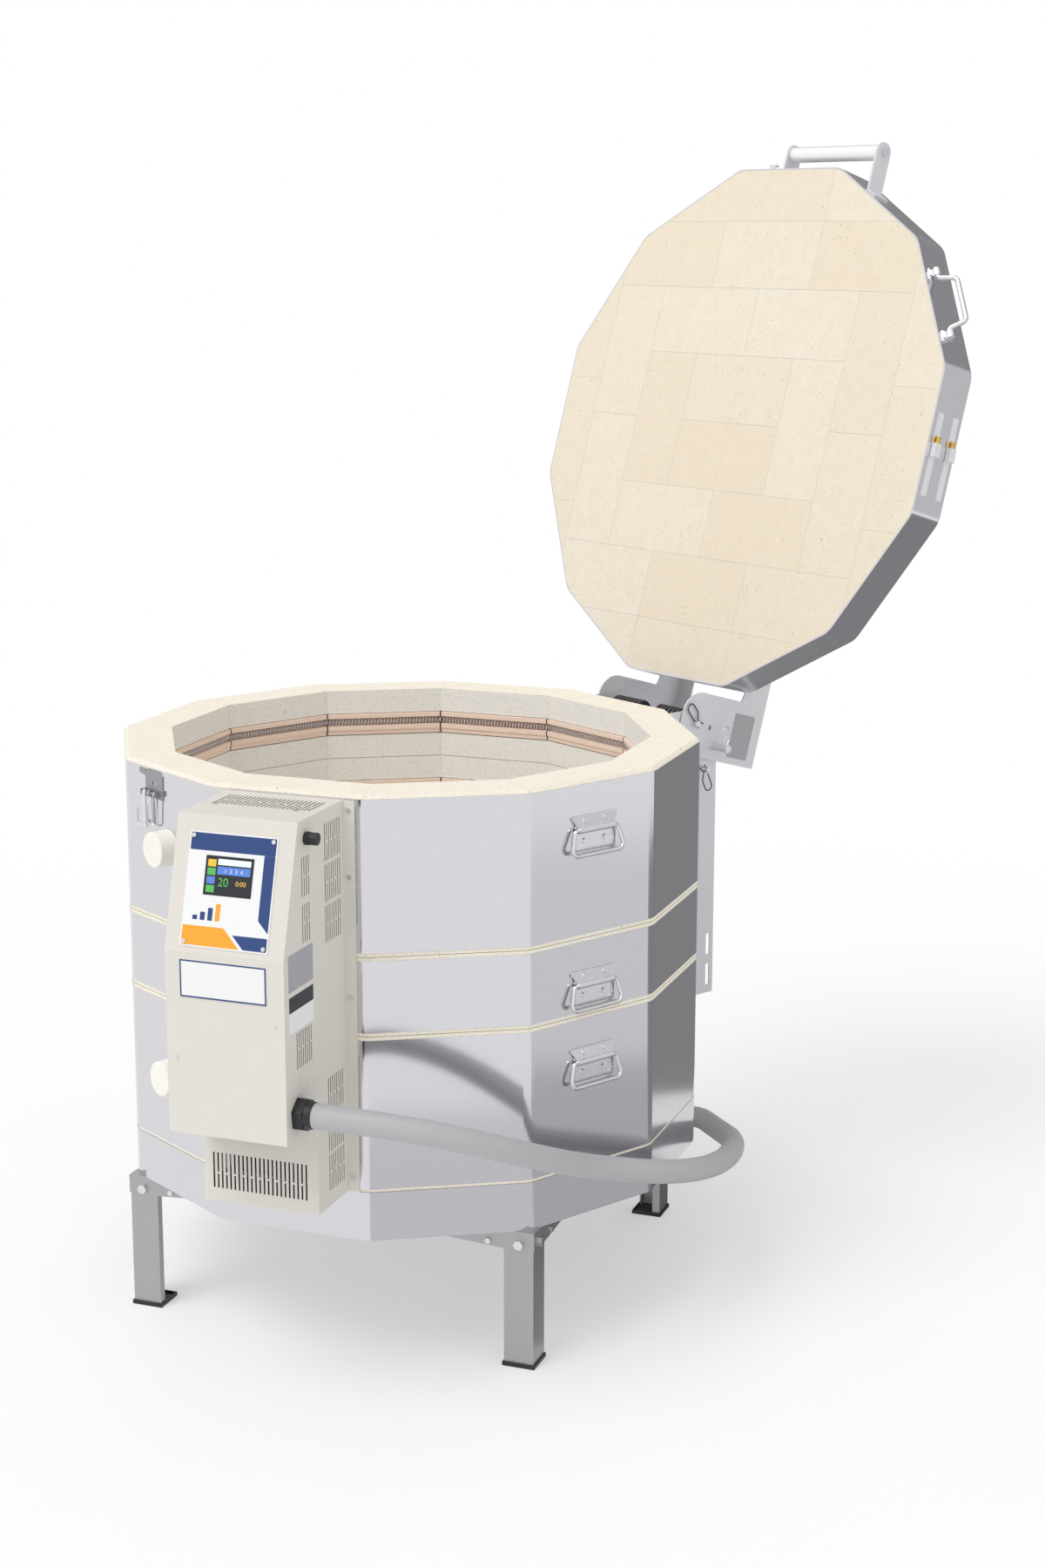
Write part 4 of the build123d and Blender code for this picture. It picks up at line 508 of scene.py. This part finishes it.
# below 398 mm the box has only its rear part, whose front is 527 mm from the kiln's axis
above_foot = add(powder_coat, "ShaderNodeMath",
                 {"operation": "GREATER_THAN", 1: split_foot + inside_depth},
                 {0: coat_axes.outputs["Z"]})
behind_foot = add(powder_coat, "ShaderNodeMath",
                  {"operation": "GREATER_THAN", 1: split_front + inside_depth},
                  {0: coat_axes.outputs["Y"]})
in_either = add(powder_coat, "ShaderNodeMath", {"operation": "MAXIMUM"},
                {0: above_foot.outputs[0], 1: behind_foot.outputs[0]})
inside = in_either.outputs[0]
for kind, socket, limit in (("LESS_THAN", off_middle.outputs[0], box_half_width - inside_depth),
                            ("LESS_THAN", coat_axes.outputs["Z"], box_top - inside_depth),
                            ("GREATER_THAN", coat_axes.outputs["Z"], box_foot + inside_depth),
                            ("LESS_THAN", off_slope.outputs["Value"], slope_face - inside_depth),
                            ("GREATER_THAN", coat_axes.outputs["Y"], box_front + inside_depth)):
    passed = add(powder_coat, "ShaderNodeMath", {"operation": kind, 1: limit}, {0: socket})
    both = add(powder_coat, "ShaderNodeMath", {"operation": "MULTIPLY"}, {0: inside, 1: passed.outputs[0]})
    inside = both.outputs[0]
# painted shade: the inside faces take a near-black grey
shaded_inside = add(powder_coat, "ShaderNodeMix", {"data_type": "RGBA", 7: linear("#3b3833")},
             {0: inside, 6: coat_colour})
powder_coat.node_tree.links.new(shaded_inside.outputs[2], powder_shader.inputs["Base Color"])
dress(powder_coat, "box_rear_shell", "box_front_cover")
# printed plastic film of the panel and plates: flat colours with a low, even gloss
white_print, white_print_shader = finish("white_printed_film")
wear(white_print, white_print_shader, 300, ("#f4f4f4", "#f0f0f0"), (0.3, 0.36), 0)
dress(white_print, "control_panel")
navy_print, navy_shader = finish("navy_printed_film")
wear(navy_print, navy_shader, 300, ("#24427a", "#284880"), (0.3, 0.36), 0)
orange_print, orange_shader = finish("orange_printed_film")
wear(orange_print, orange_shader, 300, ("#f5a62b", "#f7ad33"), (0.3, 0.36), 0)
# cover glass over a display that is off: near black, glossy
dark_glass, dark_glass_shader = finish("dark_screen_glass")
wear(dark_glass, dark_glass_shader, 300, ("#1a1c20", "#1d1f24"), (0.06, 0.1), 0)
dress(dark_glass, "touch_screen")
# green solder mask and brown dipping varnish, both half gloss
board_green, board_shader = finish("green_circuit_board")
wear(board_green, board_shader, 400, ("#2c6a44", "#357850"), (0.4, 0.5), 0.00005)
dress(board_green, "control_board")
varnish, varnish_shader = finish("varnished_transformer_iron")
wear(varnish, varnish_shader, 300, ("#5c4a38", "#6f5b46"), (0.4, 0.55), 0.0001)
dress(varnish, "transformer")

panel_frame = (Matrix.Translation((0, box_front, slope_foot))
               @ Matrix.Rotation(math.pi / 2 - slope, 4, "X"))


def film(name, outline, material, place, lift, thickness=0.00012, rounded=0.0):
    """A thin printed patch drawn in its plane, corners rounded, and set on its surface."""
    mesh = bpy.data.meshes.new(name)
    mesh.from_pydata([(x, y, lift) for x, y in outline], [], [tuple(range(len(outline)))])
    patch = bpy.data.objects.new(name, mesh)
    bpy.context.collection.objects.link(patch)
    bpy.ops.object.select_all(action="DESELECT")
    patch.select_set(True)
    bpy.context.view_layer.objects.active = patch
    bpy.ops.object.mode_set(mode="EDIT")
    bpy.ops.mesh.select_all(action="SELECT")
    if rounded:
        bpy.ops.mesh.bevel(offset=rounded, segments=6, affect="VERTICES")
    bpy.ops.mesh.select_all(action="SELECT")
    bpy.ops.mesh.extrude_region_move(TRANSFORM_OT_translate={"value": (0, 0, -thickness)})
    bpy.ops.mesh.select_all(action="SELECT")
    bpy.ops.mesh.normals_make_consistent(inside=False)
    bpy.ops.object.mode_set(mode="OBJECT")
    mesh.transform(place)
    mesh.materials.append(material)
    return patch


def rectangle(x0, x1, y0, y1):
    """The corners of an upright rectangle."""
    return [(x0, y0), (x1, y0), (x1, y1), (x0, y1)]


panel_top = 0.0015
prints = [
    ("panel_navy_head", rectangle(-0.065, 0.060, 0.136, 0.159), navy_print),
    ("panel_navy_side", [(0.044, 0.050), (0.060, 0.034), (0.060, 0.1359), (0.044, 0.1359)], navy_print),
    ("panel_orange_foot", [(-0.065, 0.010), (0.020, 0.010), (-0.005, 0.036), (-0.065, 0.036)],
     orange_print),
    ("panel_navy_foot", [(0.026, 0.010), (0.060, 0.010), (0.060, 0.028), (0.0085, 0.028)], navy_print),
]
for index, rise in enumerate((0.006, 0.011, 0.017, 0.023)):
    x = -0.052 + index * 0.011
    prints.append((f"panel_bar_{index + 1}", rectangle(x, x + 0.007, 0.044, 0.044 + rise),
                   orange_print if index == 3 else navy_print))
print_rise = 0.0001
for name, outline, material in prints:
    patch = film(name, outline, material, panel_frame, panel_top + print_rise, rounded=0.0012)
    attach(patch, "kiln")

# Touch screen: cover glass bonded to the panel over a lit display.
# Its keys, bars and figures are plain ones that glow a little, each a thin layer on the glass.
lit = {}
for name, colours in {"white": ("#e8f0f5", "#e2ebf1"), "blue": ("#5b86d8", "#5680d2"),
                      "green": ("#57b75a", "#52b156"), "amber": ("#e8c33c", "#e3bd38"),
                      "slate": ("#20242c", "#1d2128")}.items():
    lit[name], lit_shader = finish(f"display_{name}")
    wear(lit[name], lit_shader, 200, colours, (0.12, 0.16), 0)
    lit_shader.inputs["Emission Color"].default_value = linear(colours[0])
    lit_shader.inputs["Emission Strength"].default_value = 0.12
screen_glass_thickness = 0.0006
screen_top = panel_top + screen_glass_thickness
keys = [("screen_slate", rectangle(-0.038, 0.028, 0.080, 0.128), "slate"),
        ("screen_status", rectangle(-0.022, 0.0265, 0.1185, 0.1265), "white"),
        ("screen_line", rectangle(-0.022, 0.0265, 0.106, 0.1165), "blue")]
for index, colour in enumerate(("green", "blue", "green", "amber")):
    y = 0.0815 + index * 0.0114
    keys.append((f"screen_key_{index + 1}", rectangle(-0.0365, -0.0245, y, y + 0.0095), colour))
for index, (name, outline, colour) in enumerate(keys):
    key_rise = print_rise if index == 0 else 2 * print_rise
    key_patch = film(name, outline, lit[colour], panel_frame, screen_top + key_rise,
                     thickness=0.00008, rounded=0.0006)
    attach(key_patch, "kiln")


def figures(name, words, size, centre, material, lift):
    """Raised figures of the display, drawn in the panel's plane and made a mesh."""
    text = bpy.data.curves.new(name, "FONT")
    text.body = words
    text.size = size
    text.align_x = "CENTER"
    text.extrude = 0.00003
    loose = bpy.data.objects.new(name, text)
    bpy.context.collection.objects.link(loose)
    mesh = bpy.data.meshes.new_from_object(loose)
    bpy.data.objects.remove(loose)
    mesh.transform(panel_frame @ Matrix.Translation((*centre, lift)))
    mesh.materials.clear()
    mesh.materials.append(material)
    piece = bpy.data.objects.new(name, mesh)
    bpy.context.collection.objects.link(piece)
    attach(piece, "kiln")


figures("screen_figures_large", "20", 0.016, (-0.012, 0.0905), lit["green"], screen_top + 0.00022)
figures("screen_figures_small", "0:00", 0.009, (0.014, 0.0925), lit["amber"], screen_top + 0.00022)
figures("screen_figures_line", "1  2  3  4", 0.0075, (0.002, 0.1085), lit["white"], screen_top + 0.00032)

# Nameplate: a white sheet plate with a thin printed navy edge, left bare.
# It is glued to the upright front of the box, below the slope.
front_frame = Matrix.Translation((0, box_front, 0)) @ Matrix.Rotation(math.pi / 2, 4, "X")
edge_width = 0.0022
plate_thickness = 0.0014
plate_x, plate_z = (-0.0665, 0.0605), (0.6054, 0.6570)
name_plate = film("bare_nameplate", rectangle(*plate_x, *plate_z), white_print, front_frame,
                  plate_thickness, thickness=plate_thickness, rounded=0.001)
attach(name_plate, "kiln")
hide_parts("name_plate")
for name, outline in {
        "nameplate_edge_low": rectangle(plate_x[0], plate_x[1], plate_z[0], plate_z[0] + edge_width),
        "nameplate_edge_high": rectangle(plate_x[0], plate_x[1], plate_z[1] - edge_width, plate_z[1]),
        "nameplate_edge_left": rectangle(plate_x[0], plate_x[0] + edge_width, plate_z[0] + edge_width,
                                         plate_z[1] - edge_width),
        "nameplate_edge_right": rectangle(plate_x[1] - edge_width, plate_x[1], plate_z[0] + edge_width,
                                          plate_z[1] - edge_width)}.items():
    edging = film(name, outline, navy_print, front_frame, plate_thickness + print_rise,
                  thickness=print_rise)
    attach(edging, "kiln")

# Side plates: a silver rating plate and a white one with a black head stuck on the box's right side.
# Both are left bare; corners have a small radius.
# metallised film: dull silver, a little cloudy
silver_film, silver_shader = finish("silver_label_film")
silver_shader.inputs["Metallic"].default_value = 0.3
wear(silver_film, silver_shader, 60, ("#a7a7ae", "#b7b6bd"), (0.35, 0.42), 0)
black_film, black_film_shader = finish("black_printed_film")
wear(black_film, black_film_shader, 300, ("#1b1b22", "#202027"), (0.32, 0.4), 0)
side_frame = Matrix(((0, 0, 1, box_right), (1, 0, 0, 0), (0, 1, 0, 0), (0, 0, 0, 1)))
plate_y = (-0.6084, -0.5336)
for name, low, high, material in (("rating_plate", 0.6205, 0.6710, silver_film),
                                  ("caution_plate", 0.5633, 0.6140, white_print)):
    plate = film(name, rectangle(*plate_y, low, high), material, side_frame, 0.0002, rounded=0.002)
    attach(plate, "kiln")
head_margin = 0.0004
plate_head = film("caution_plate_head",
                  rectangle(plate_y[0] + head_margin, plate_y[1] - head_margin, 0.5920, 0.6136),
                  black_film, side_frame, 0.0003, thickness=0.0001, rounded=0.0015)
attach(plate_head, "kiln")


# Cable gland: moulded black polyamide, a hex nut with a tapered dome that grips the cord.
# Its threaded shank passes the box side and is held by a larger hex locknut inside.
def hexagon(name, flats, low, high):
    """A hex nut along Z with its edges broken, left as it was tightened, 7.7 degrees round."""
    bpy.ops.object.select_all(action="DESELECT")
    bpy.ops.mesh.primitive_cylinder_add(vertices=6, radius=flats / math.sqrt(3), depth=high - low,
                                        location=(0, 0, (low + high) / 2),
                                        rotation=(0, 0, math.radians(7.7)))
    nut = bpy.context.active_object
    nut.name = name
    bpy.ops.object.transform_apply(location=True, rotation=True, scale=True)
    bpy.ops.object.mode_set(mode="EDIT")
    bpy.ops.mesh.select_all(action="SELECT")
    bpy.ops.mesh.bevel(offset=0.0011, segments=3, affect="EDGES")
    bpy.ops.object.mode_set(mode="OBJECT")
    return nut


def turned(name, profile):
    """A solid of revolution about Z through points of radius and height."""
    mesh = bpy.data.meshes.new(name)
    mesh.from_pydata([(radius, 0, height) for radius, height in profile],
                     [(i, i + 1) for i in range(len(profile) - 1)], [])
    piece = bpy.data.objects.new(name, mesh)
    bpy.context.collection.objects.link(piece)
    bpy.ops.object.select_all(action="DESELECT")
    piece.select_set(True)
    bpy.context.view_layer.objects.active = piece
    bpy.ops.object.mode_set(mode="EDIT")
    bpy.ops.mesh.select_all(action="SELECT")
    bpy.ops.mesh.spin(steps=64, angle=2 * math.pi, center=(0, 0, 0), axis=(0, 0, 1))
    bpy.ops.mesh.select_all(action="SELECT")
    bpy.ops.mesh.remove_doubles(threshold=0.00001)
    bpy.ops.mesh.normals_make_consistent(inside=False)
    bpy.ops.object.mode_set(mode="OBJECT")
    return piece


# the dome narrows from 40 mm to the cord over 10 mm; the shank carries shallow threads 2 mm apart
gland_bore, thread_root, thread_crest, thread_pitch = 0.0155, 0.0178, 0.0185, 0.002
shank_end, shank_top = -0.0120, 0.0010
dome_profile = [(gland_bore, 0.0248), (0.0178, 0.0248), (0.0183, 0.0235), (0.0189, 0.0205),
                (0.0196, 0.0172), (0.0200, 0.0150), (0.0200, 0.0135), (gland_bore, 0.0135),
                (gland_bore, 0.0248)]
thread_profile = [(gland_bore, shank_end), (gland_bore, shank_top), (thread_root, shank_top)]
for index in range(6):
    thread_profile += [(thread_root, -0.0004 - index * thread_pitch),
                       (thread_crest, -0.0012 - index * thread_pitch)]
thread_profile += [(thread_root, shank_end), (gland_bore, shank_end)]
gland_pieces = [hexagon("gland_nut", 0.042, 0.0, 0.0145), turned("gland_dome", dome_profile),
                turned("gland_thread", thread_profile),
                hexagon("gland_locknut", 0.046, -0.0075, -0.0015)]
bpy.ops.object.select_all(action="DESELECT")
for piece in gland_pieces:
    piece.select_set(True)
gland = gland_pieces[0]
bpy.context.view_layer.objects.active = gland
bpy.ops.object.join()
bpy.ops.object.shade_smooth_by_angle(angle=math.radians(30))
gland.name = "cable_gland_moulding"
gland.data.transform(Matrix.Translation((0, *cord_route[0][1:])) @ side_frame)
gland.data.materials.clear()
gland.data.materials.append(black_abs)
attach(gland, "kiln")
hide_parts("cable_gland")

# Lid: firebricks cemented flat into one slab, laid in rings round two in the middle.
# The face is sanded; the thin cement joints show a little lower and greyer than the brick.
lid_bottom, lid_top, lid_apothem = 0.8520, 0.9155, 0.4317
lip_apothem, lip_depth = 0.4295, 0.0008
corner_radius = 0.039
joint_half_width, joint_depth = 0.0005, 0.0004
open_angle = math.radians(106.4)
lid_out = Vector((math.cos(math.radians(60)), math.sin(math.radians(60)), 0))
lid_right = Vector((math.cos(math.radians(-30)), math.sin(math.radians(-30)), 0))
pivot = lid_out * 0.5008 + Vector((0, 0, 0.8179))
swing_open = (Matrix.Translation(pivot) @ Matrix.Rotation(-open_angle, 4, lid_right)
              @ Matrix.Translation(-pivot))
bpy.ops.object.select_all(action="DESELECT")
bpy.ops.mesh.primitive_circle_add(vertices=12, radius=lip_apothem / math.cos(math.radians(15)),
                                  fill_type="NGON", location=(0, 0, lid_bottom),
                                  rotation=(0, 0, math.radians(15)))
slab = bpy.context.active_object
slab.name = "lid_bricks"
bpy.ops.object.transform_apply(location=True, rotation=True, scale=True)
# joints in brick widths from the middle of the pattern: the axis that each crosses, its place
# and the stretch of the face that it cuts as (low n, high n, low t, high t)
pattern_shift = -0.007
cuts = [("n", -3.0, (-9, 9, -9, 9)), ("n", 3.0, (-9, 9, -9, 9)),
        ("t", 1.0, (-9, -3, -9, 9)), ("t", -1.0, (3, 9, -9, 9)), ("t", 1.0, (3, 9, -9, 9)),
        ("t", -3.0, (-3, 3, -9, 9)), ("t", 3.0, (-3, 3, -9, 9)),
        ("n", -0.53, (-3, 3, -9, -3)), ("n", 1.42, (-3, 3, -9, -3)),
        ("n", -0.70, (-3, 3, 3, 9)), ("n", 1.30, (-3, 3, 3, 9)),
        ("n", -2.0, (-3, 3, -3, 3)), ("n", 2.0, (-3, 3, -3, 3)),
        ("t", -1.0, (-3, -2, -3, 3)), ("t", 1.0, (-3, -2, -3, 3)),
        ("t", -1.0, (2, 3, -3, 3)), ("t", 1.0, (2, 3, -3, 3)),
        ("t", -2.0, (-2, 2, -3, 3)), ("t", 2.0, (-2, 2, -3, 3)),
        ("n", 0.0, (-2, 2, -3, -2)), ("n", 0.0, (-2, 2, 2, 3)),
        ("n", -1.0, (-2, 2, -2, 2)), ("n", 1.0, (-2, 2, -2, 2)),
        ("t", 0.0, (-2, -1, -2, 2)), ("t", 0.0, (1, 2, -2, 2)),
        ("t", -1.0, (-1, 1, -2, 2)), ("t", 1.0, (-1, 1, -2, 2)),
        ("n", 0.0, (-1, 1, -1, 1))]
bpy.ops.object.mode_set(mode="EDIT")
bpy.ops.mesh.select_all(action="SELECT")
bpy.ops.mesh.bevel(offset=corner_radius * math.tan(math.radians(15)), segments=5, affect="VERTICES")
bpy.ops.mesh.select_mode(type="FACE")
for axis, place, (low_n, high_n, low_t, high_t) in cuts:
    sheet = bmesh.from_edit_mesh(slab.data)
    for face in sheet.faces:
        middle = face.calc_center_median()
        at_n = middle.dot(lid_out) / course
        at_t = (middle.dot(lid_right) - pattern_shift) / course
        face.select_set(low_n < at_n < high_n and low_t < at_t < high_t)
    bmesh.update_edit_mesh(slab.data)
    if axis == "n":
        bpy.ops.mesh.bisect(plane_co=lid_out * place * course, plane_no=lid_out)
    else:
        bpy.ops.mesh.bisect(plane_co=lid_right * (place * course + pattern_shift), plane_no=lid_right)
bpy.ops.mesh.select_all(action="SELECT")
bpy.ops.mesh.normals_make_consistent(inside=False)
sheet = bmesh.from_edit_mesh(slab.data)
if sum(face.normal.z for face in sheet.faces) > 0:
    bpy.ops.mesh.flip_normals()
# inside the band's lip the slab is a little smaller than above it
bpy.ops.mesh.extrude_region_move(TRANSFORM_OT_translate={"value": (0, 0, lip_depth)})
bpy.ops.mesh.extrude_region_move(TRANSFORM_OT_translate={"value": (0, 0, 0)})
grown = lid_apothem / lip_apothem
bpy.ops.transform.resize(value=(grown, grown, 1), center_override=(0, 0, 0))
slab_rise = lid_top - lid_bottom - lip_depth
bpy.ops.mesh.extrude_region_move(TRANSFORM_OT_translate={"value": (0, 0, slab_rise)})
bpy.ops.mesh.select_all(action="SELECT")
bpy.ops.mesh.normals_make_consistent(inside=False)
sheet = bmesh.from_edit_mesh(slab.data)
for face in sheet.faces:
    face.select_set(face.normal.z < -0.9 and face.calc_center_median().z < lid_bottom + 0.0001)
bmesh.update_edit_mesh(slab.data)
# half a joint round each brick, 0.5 mm wide; the middle of the joint lies 0.4 mm deep
bpy.ops.mesh.inset(thickness=joint_half_width, use_individual=True)
sheet = bmesh.from_edit_mesh(slab.data)
tone_layer = sheet.faces.layers.float.new("brick_tone")
draw = random.Random(12)
border = {vert for face in sheet.faces if face.normal.z > -0.9 for vert in face.verts}
bricks = [face for face in sheet.faces if face.select]
brick_corners = {vert for face in bricks for vert in face.verts}
for brick in bricks:
    tone = draw.random()
    for edge in brick.edges:
        for face in edge.link_faces:
            face[tone_layer] = tone
joint_verts = {vert for vert in sheet.verts
               if abs(vert.co.z - lid_bottom) < 1e-5 and vert not in border and vert not in brick_corners}
for face in sheet.faces:
    if not face.select and face.normal.z < -0.9 and any(vert in joint_verts for vert in face.verts):
        face.material_index = 1
for vert in joint_verts:
    vert.co.z += joint_depth
bmesh.update_edit_mesh(slab.data)
bpy.ops.object.mode_set(mode="OBJECT")
slab.data.transform(swing_open)

# sanded firebrick: dry and cream, each brick a little warmer or cooler than the next
sanded_brick, sanded_shader = finish("sanded_lid_firebrick")
sanded_tone = wear(sanded_brick, sanded_shader, 45, ("#f1eadb", "#e9deca"), (0.85, 0.95), 0,
                   detail=8.0)
each_brick = add(sanded_brick, "ShaderNodeAttribute", {"attribute_name": "brick_tone"})
warm = add(sanded_brick, "ShaderNodeMapRange", {"To Min": 0.0, "To Max": 0.36},
           {"Value": each_brick.outputs["Fac"]})
warmed = add(sanded_brick, "ShaderNodeMix", {"data_type": "RGBA", 7: linear("#e8d5b8")},
             {0: warm.outputs["Result"], 6: sanded_tone})
lid_place = add(sanded_brick, "ShaderNodeTexCoord")
# ochre speckle 1 to 3 mm across
speckle = add(sanded_brick, "ShaderNodeTexNoise", {"Scale": 420, "Detail": 3.0},
              {"Vector": lid_place.outputs["Object"]})
speckle_share = add(sanded_brick, "ShaderNodeMapRange",
                    {"From Min": 0.55, "From Max": 0.72, "To Max": 0.5},
                    {"Value": speckle.outputs["Fac"]})
speckled = add(sanded_brick, "ShaderNodeMix", {"data_type": "RGBA", 7: linear("#d0ab80")},
               {0: speckle_share.outputs["Result"], 6: warmed.outputs[2]})
# iron specks about 1.5 mm across, some 15 mm apart
iron = add(sanded_brick, "ShaderNodeTexVoronoi", {"Scale": 110}, {"Vector": lid_place.outputs["Object"]})
iron_patch = add(sanded_brick, "ShaderNodeTexNoise", {"Scale": 40, "Detail": 1.0},
                 {"Vector": lid_place.outputs["Object"]})
iron_edge = add(sanded_brick, "ShaderNodeMapRange",
                {"From Min": 0.50, "From Max": 0.66, "To Min": 0.0, "To Max": 0.11},
                {"Value": iron_patch.outputs["Fac"]})
iron_specks = add(sanded_brick, "ShaderNodeMath", {"operation": "LESS_THAN"},
                  {0: iron.outputs["Distance"], 1: iron_edge.outputs["Result"]})
flecked = add(sanded_brick, "ShaderNodeMix", {"data_type": "RGBA", 7: linear("#8d7a62")},
              {0: iron_specks.outputs[0], 6: speckled.outputs[2]})
sanded_brick.node_tree.links.new(flecked.outputs[2], sanded_shader.inputs["Base Color"])
# set refractory cement: dry, cooler and greyer than the brick
cement, cement_shader = finish("refractory_cement")
wear(cement, cement_shader, 400, ("#d6d6cf", "#cccdc6"), (0.85, 0.95), 0.0001)
slab.data.materials.append(sanded_brick)
slab.data.materials.append(cement)
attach(slab, "lid")
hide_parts("lid_slab")

# Lid fittings: the band's two worm clamps have pale stamped housings with yellow passivated screws.
# The right hinge ear carries a grey label, left bare.
# stamped plated steel: pale with a soft shine
clamp_zinc, clamp_shader = finish("stamped_clamp_zinc")
clamp_shader.inputs["Metallic"].default_value = 0.6
clamp_colour = wear(clamp_zinc, clamp_shader, 300, ("#e6e6e8", "#efeff0"), (0.35, 0.45), 0.00002)
clamp_place = add(clamp_zinc, "ShaderNodeTexCoord")
screw_reach = 0.0062
for height in (0.867, 0.903):
    screw = swing_open @ (lid_right * 0.4385 - lid_out * 0.004 + Vector((0, 0, height)))
    reach = add(clamp_zinc, "ShaderNodeVectorMath", {"operation": "DISTANCE", 1: screw},
                {0: clamp_place.outputs["Object"]})
    at_screw = add(clamp_zinc, "ShaderNodeMath", {"operation": "LESS_THAN", 1: screw_reach},
                   {0: reach.outputs["Value"]})
    screwed = add(clamp_zinc, "ShaderNodeMix", {"data_type": "RGBA", 7: linear("#d3ae4f")},
                  {0: at_screw.outputs[0], 6: clamp_colour})
    clamp_colour = screwed.outputs[2]
clamp_zinc.node_tree.links.new(clamp_colour, clamp_shader.inputs["Base Color"])
dress(clamp_zinc, "lid_clamps")
# matt grey label film with rounded corners
grey_film, grey_film_shader = finish("grey_label_film")
wear(grey_film, grey_film_shader, 200, ("#9f9fa3", "#a8a8ac"), (0.4, 0.48), 0)
# the label is drawn in the ear's own plane: out from the axis, up, and off to the right
ear_frame = Matrix((lid_out, (0, 0, 1), lid_right)).transposed().to_4x4()
ear_face = 0.1050
ear_label = film("ear_label", rectangle(0.469, 0.543, 0.906, 0.953), grey_film,
                 swing_open @ ear_frame, ear_face + 0.0002, rounded=0.003)
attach(ear_label, "lid")
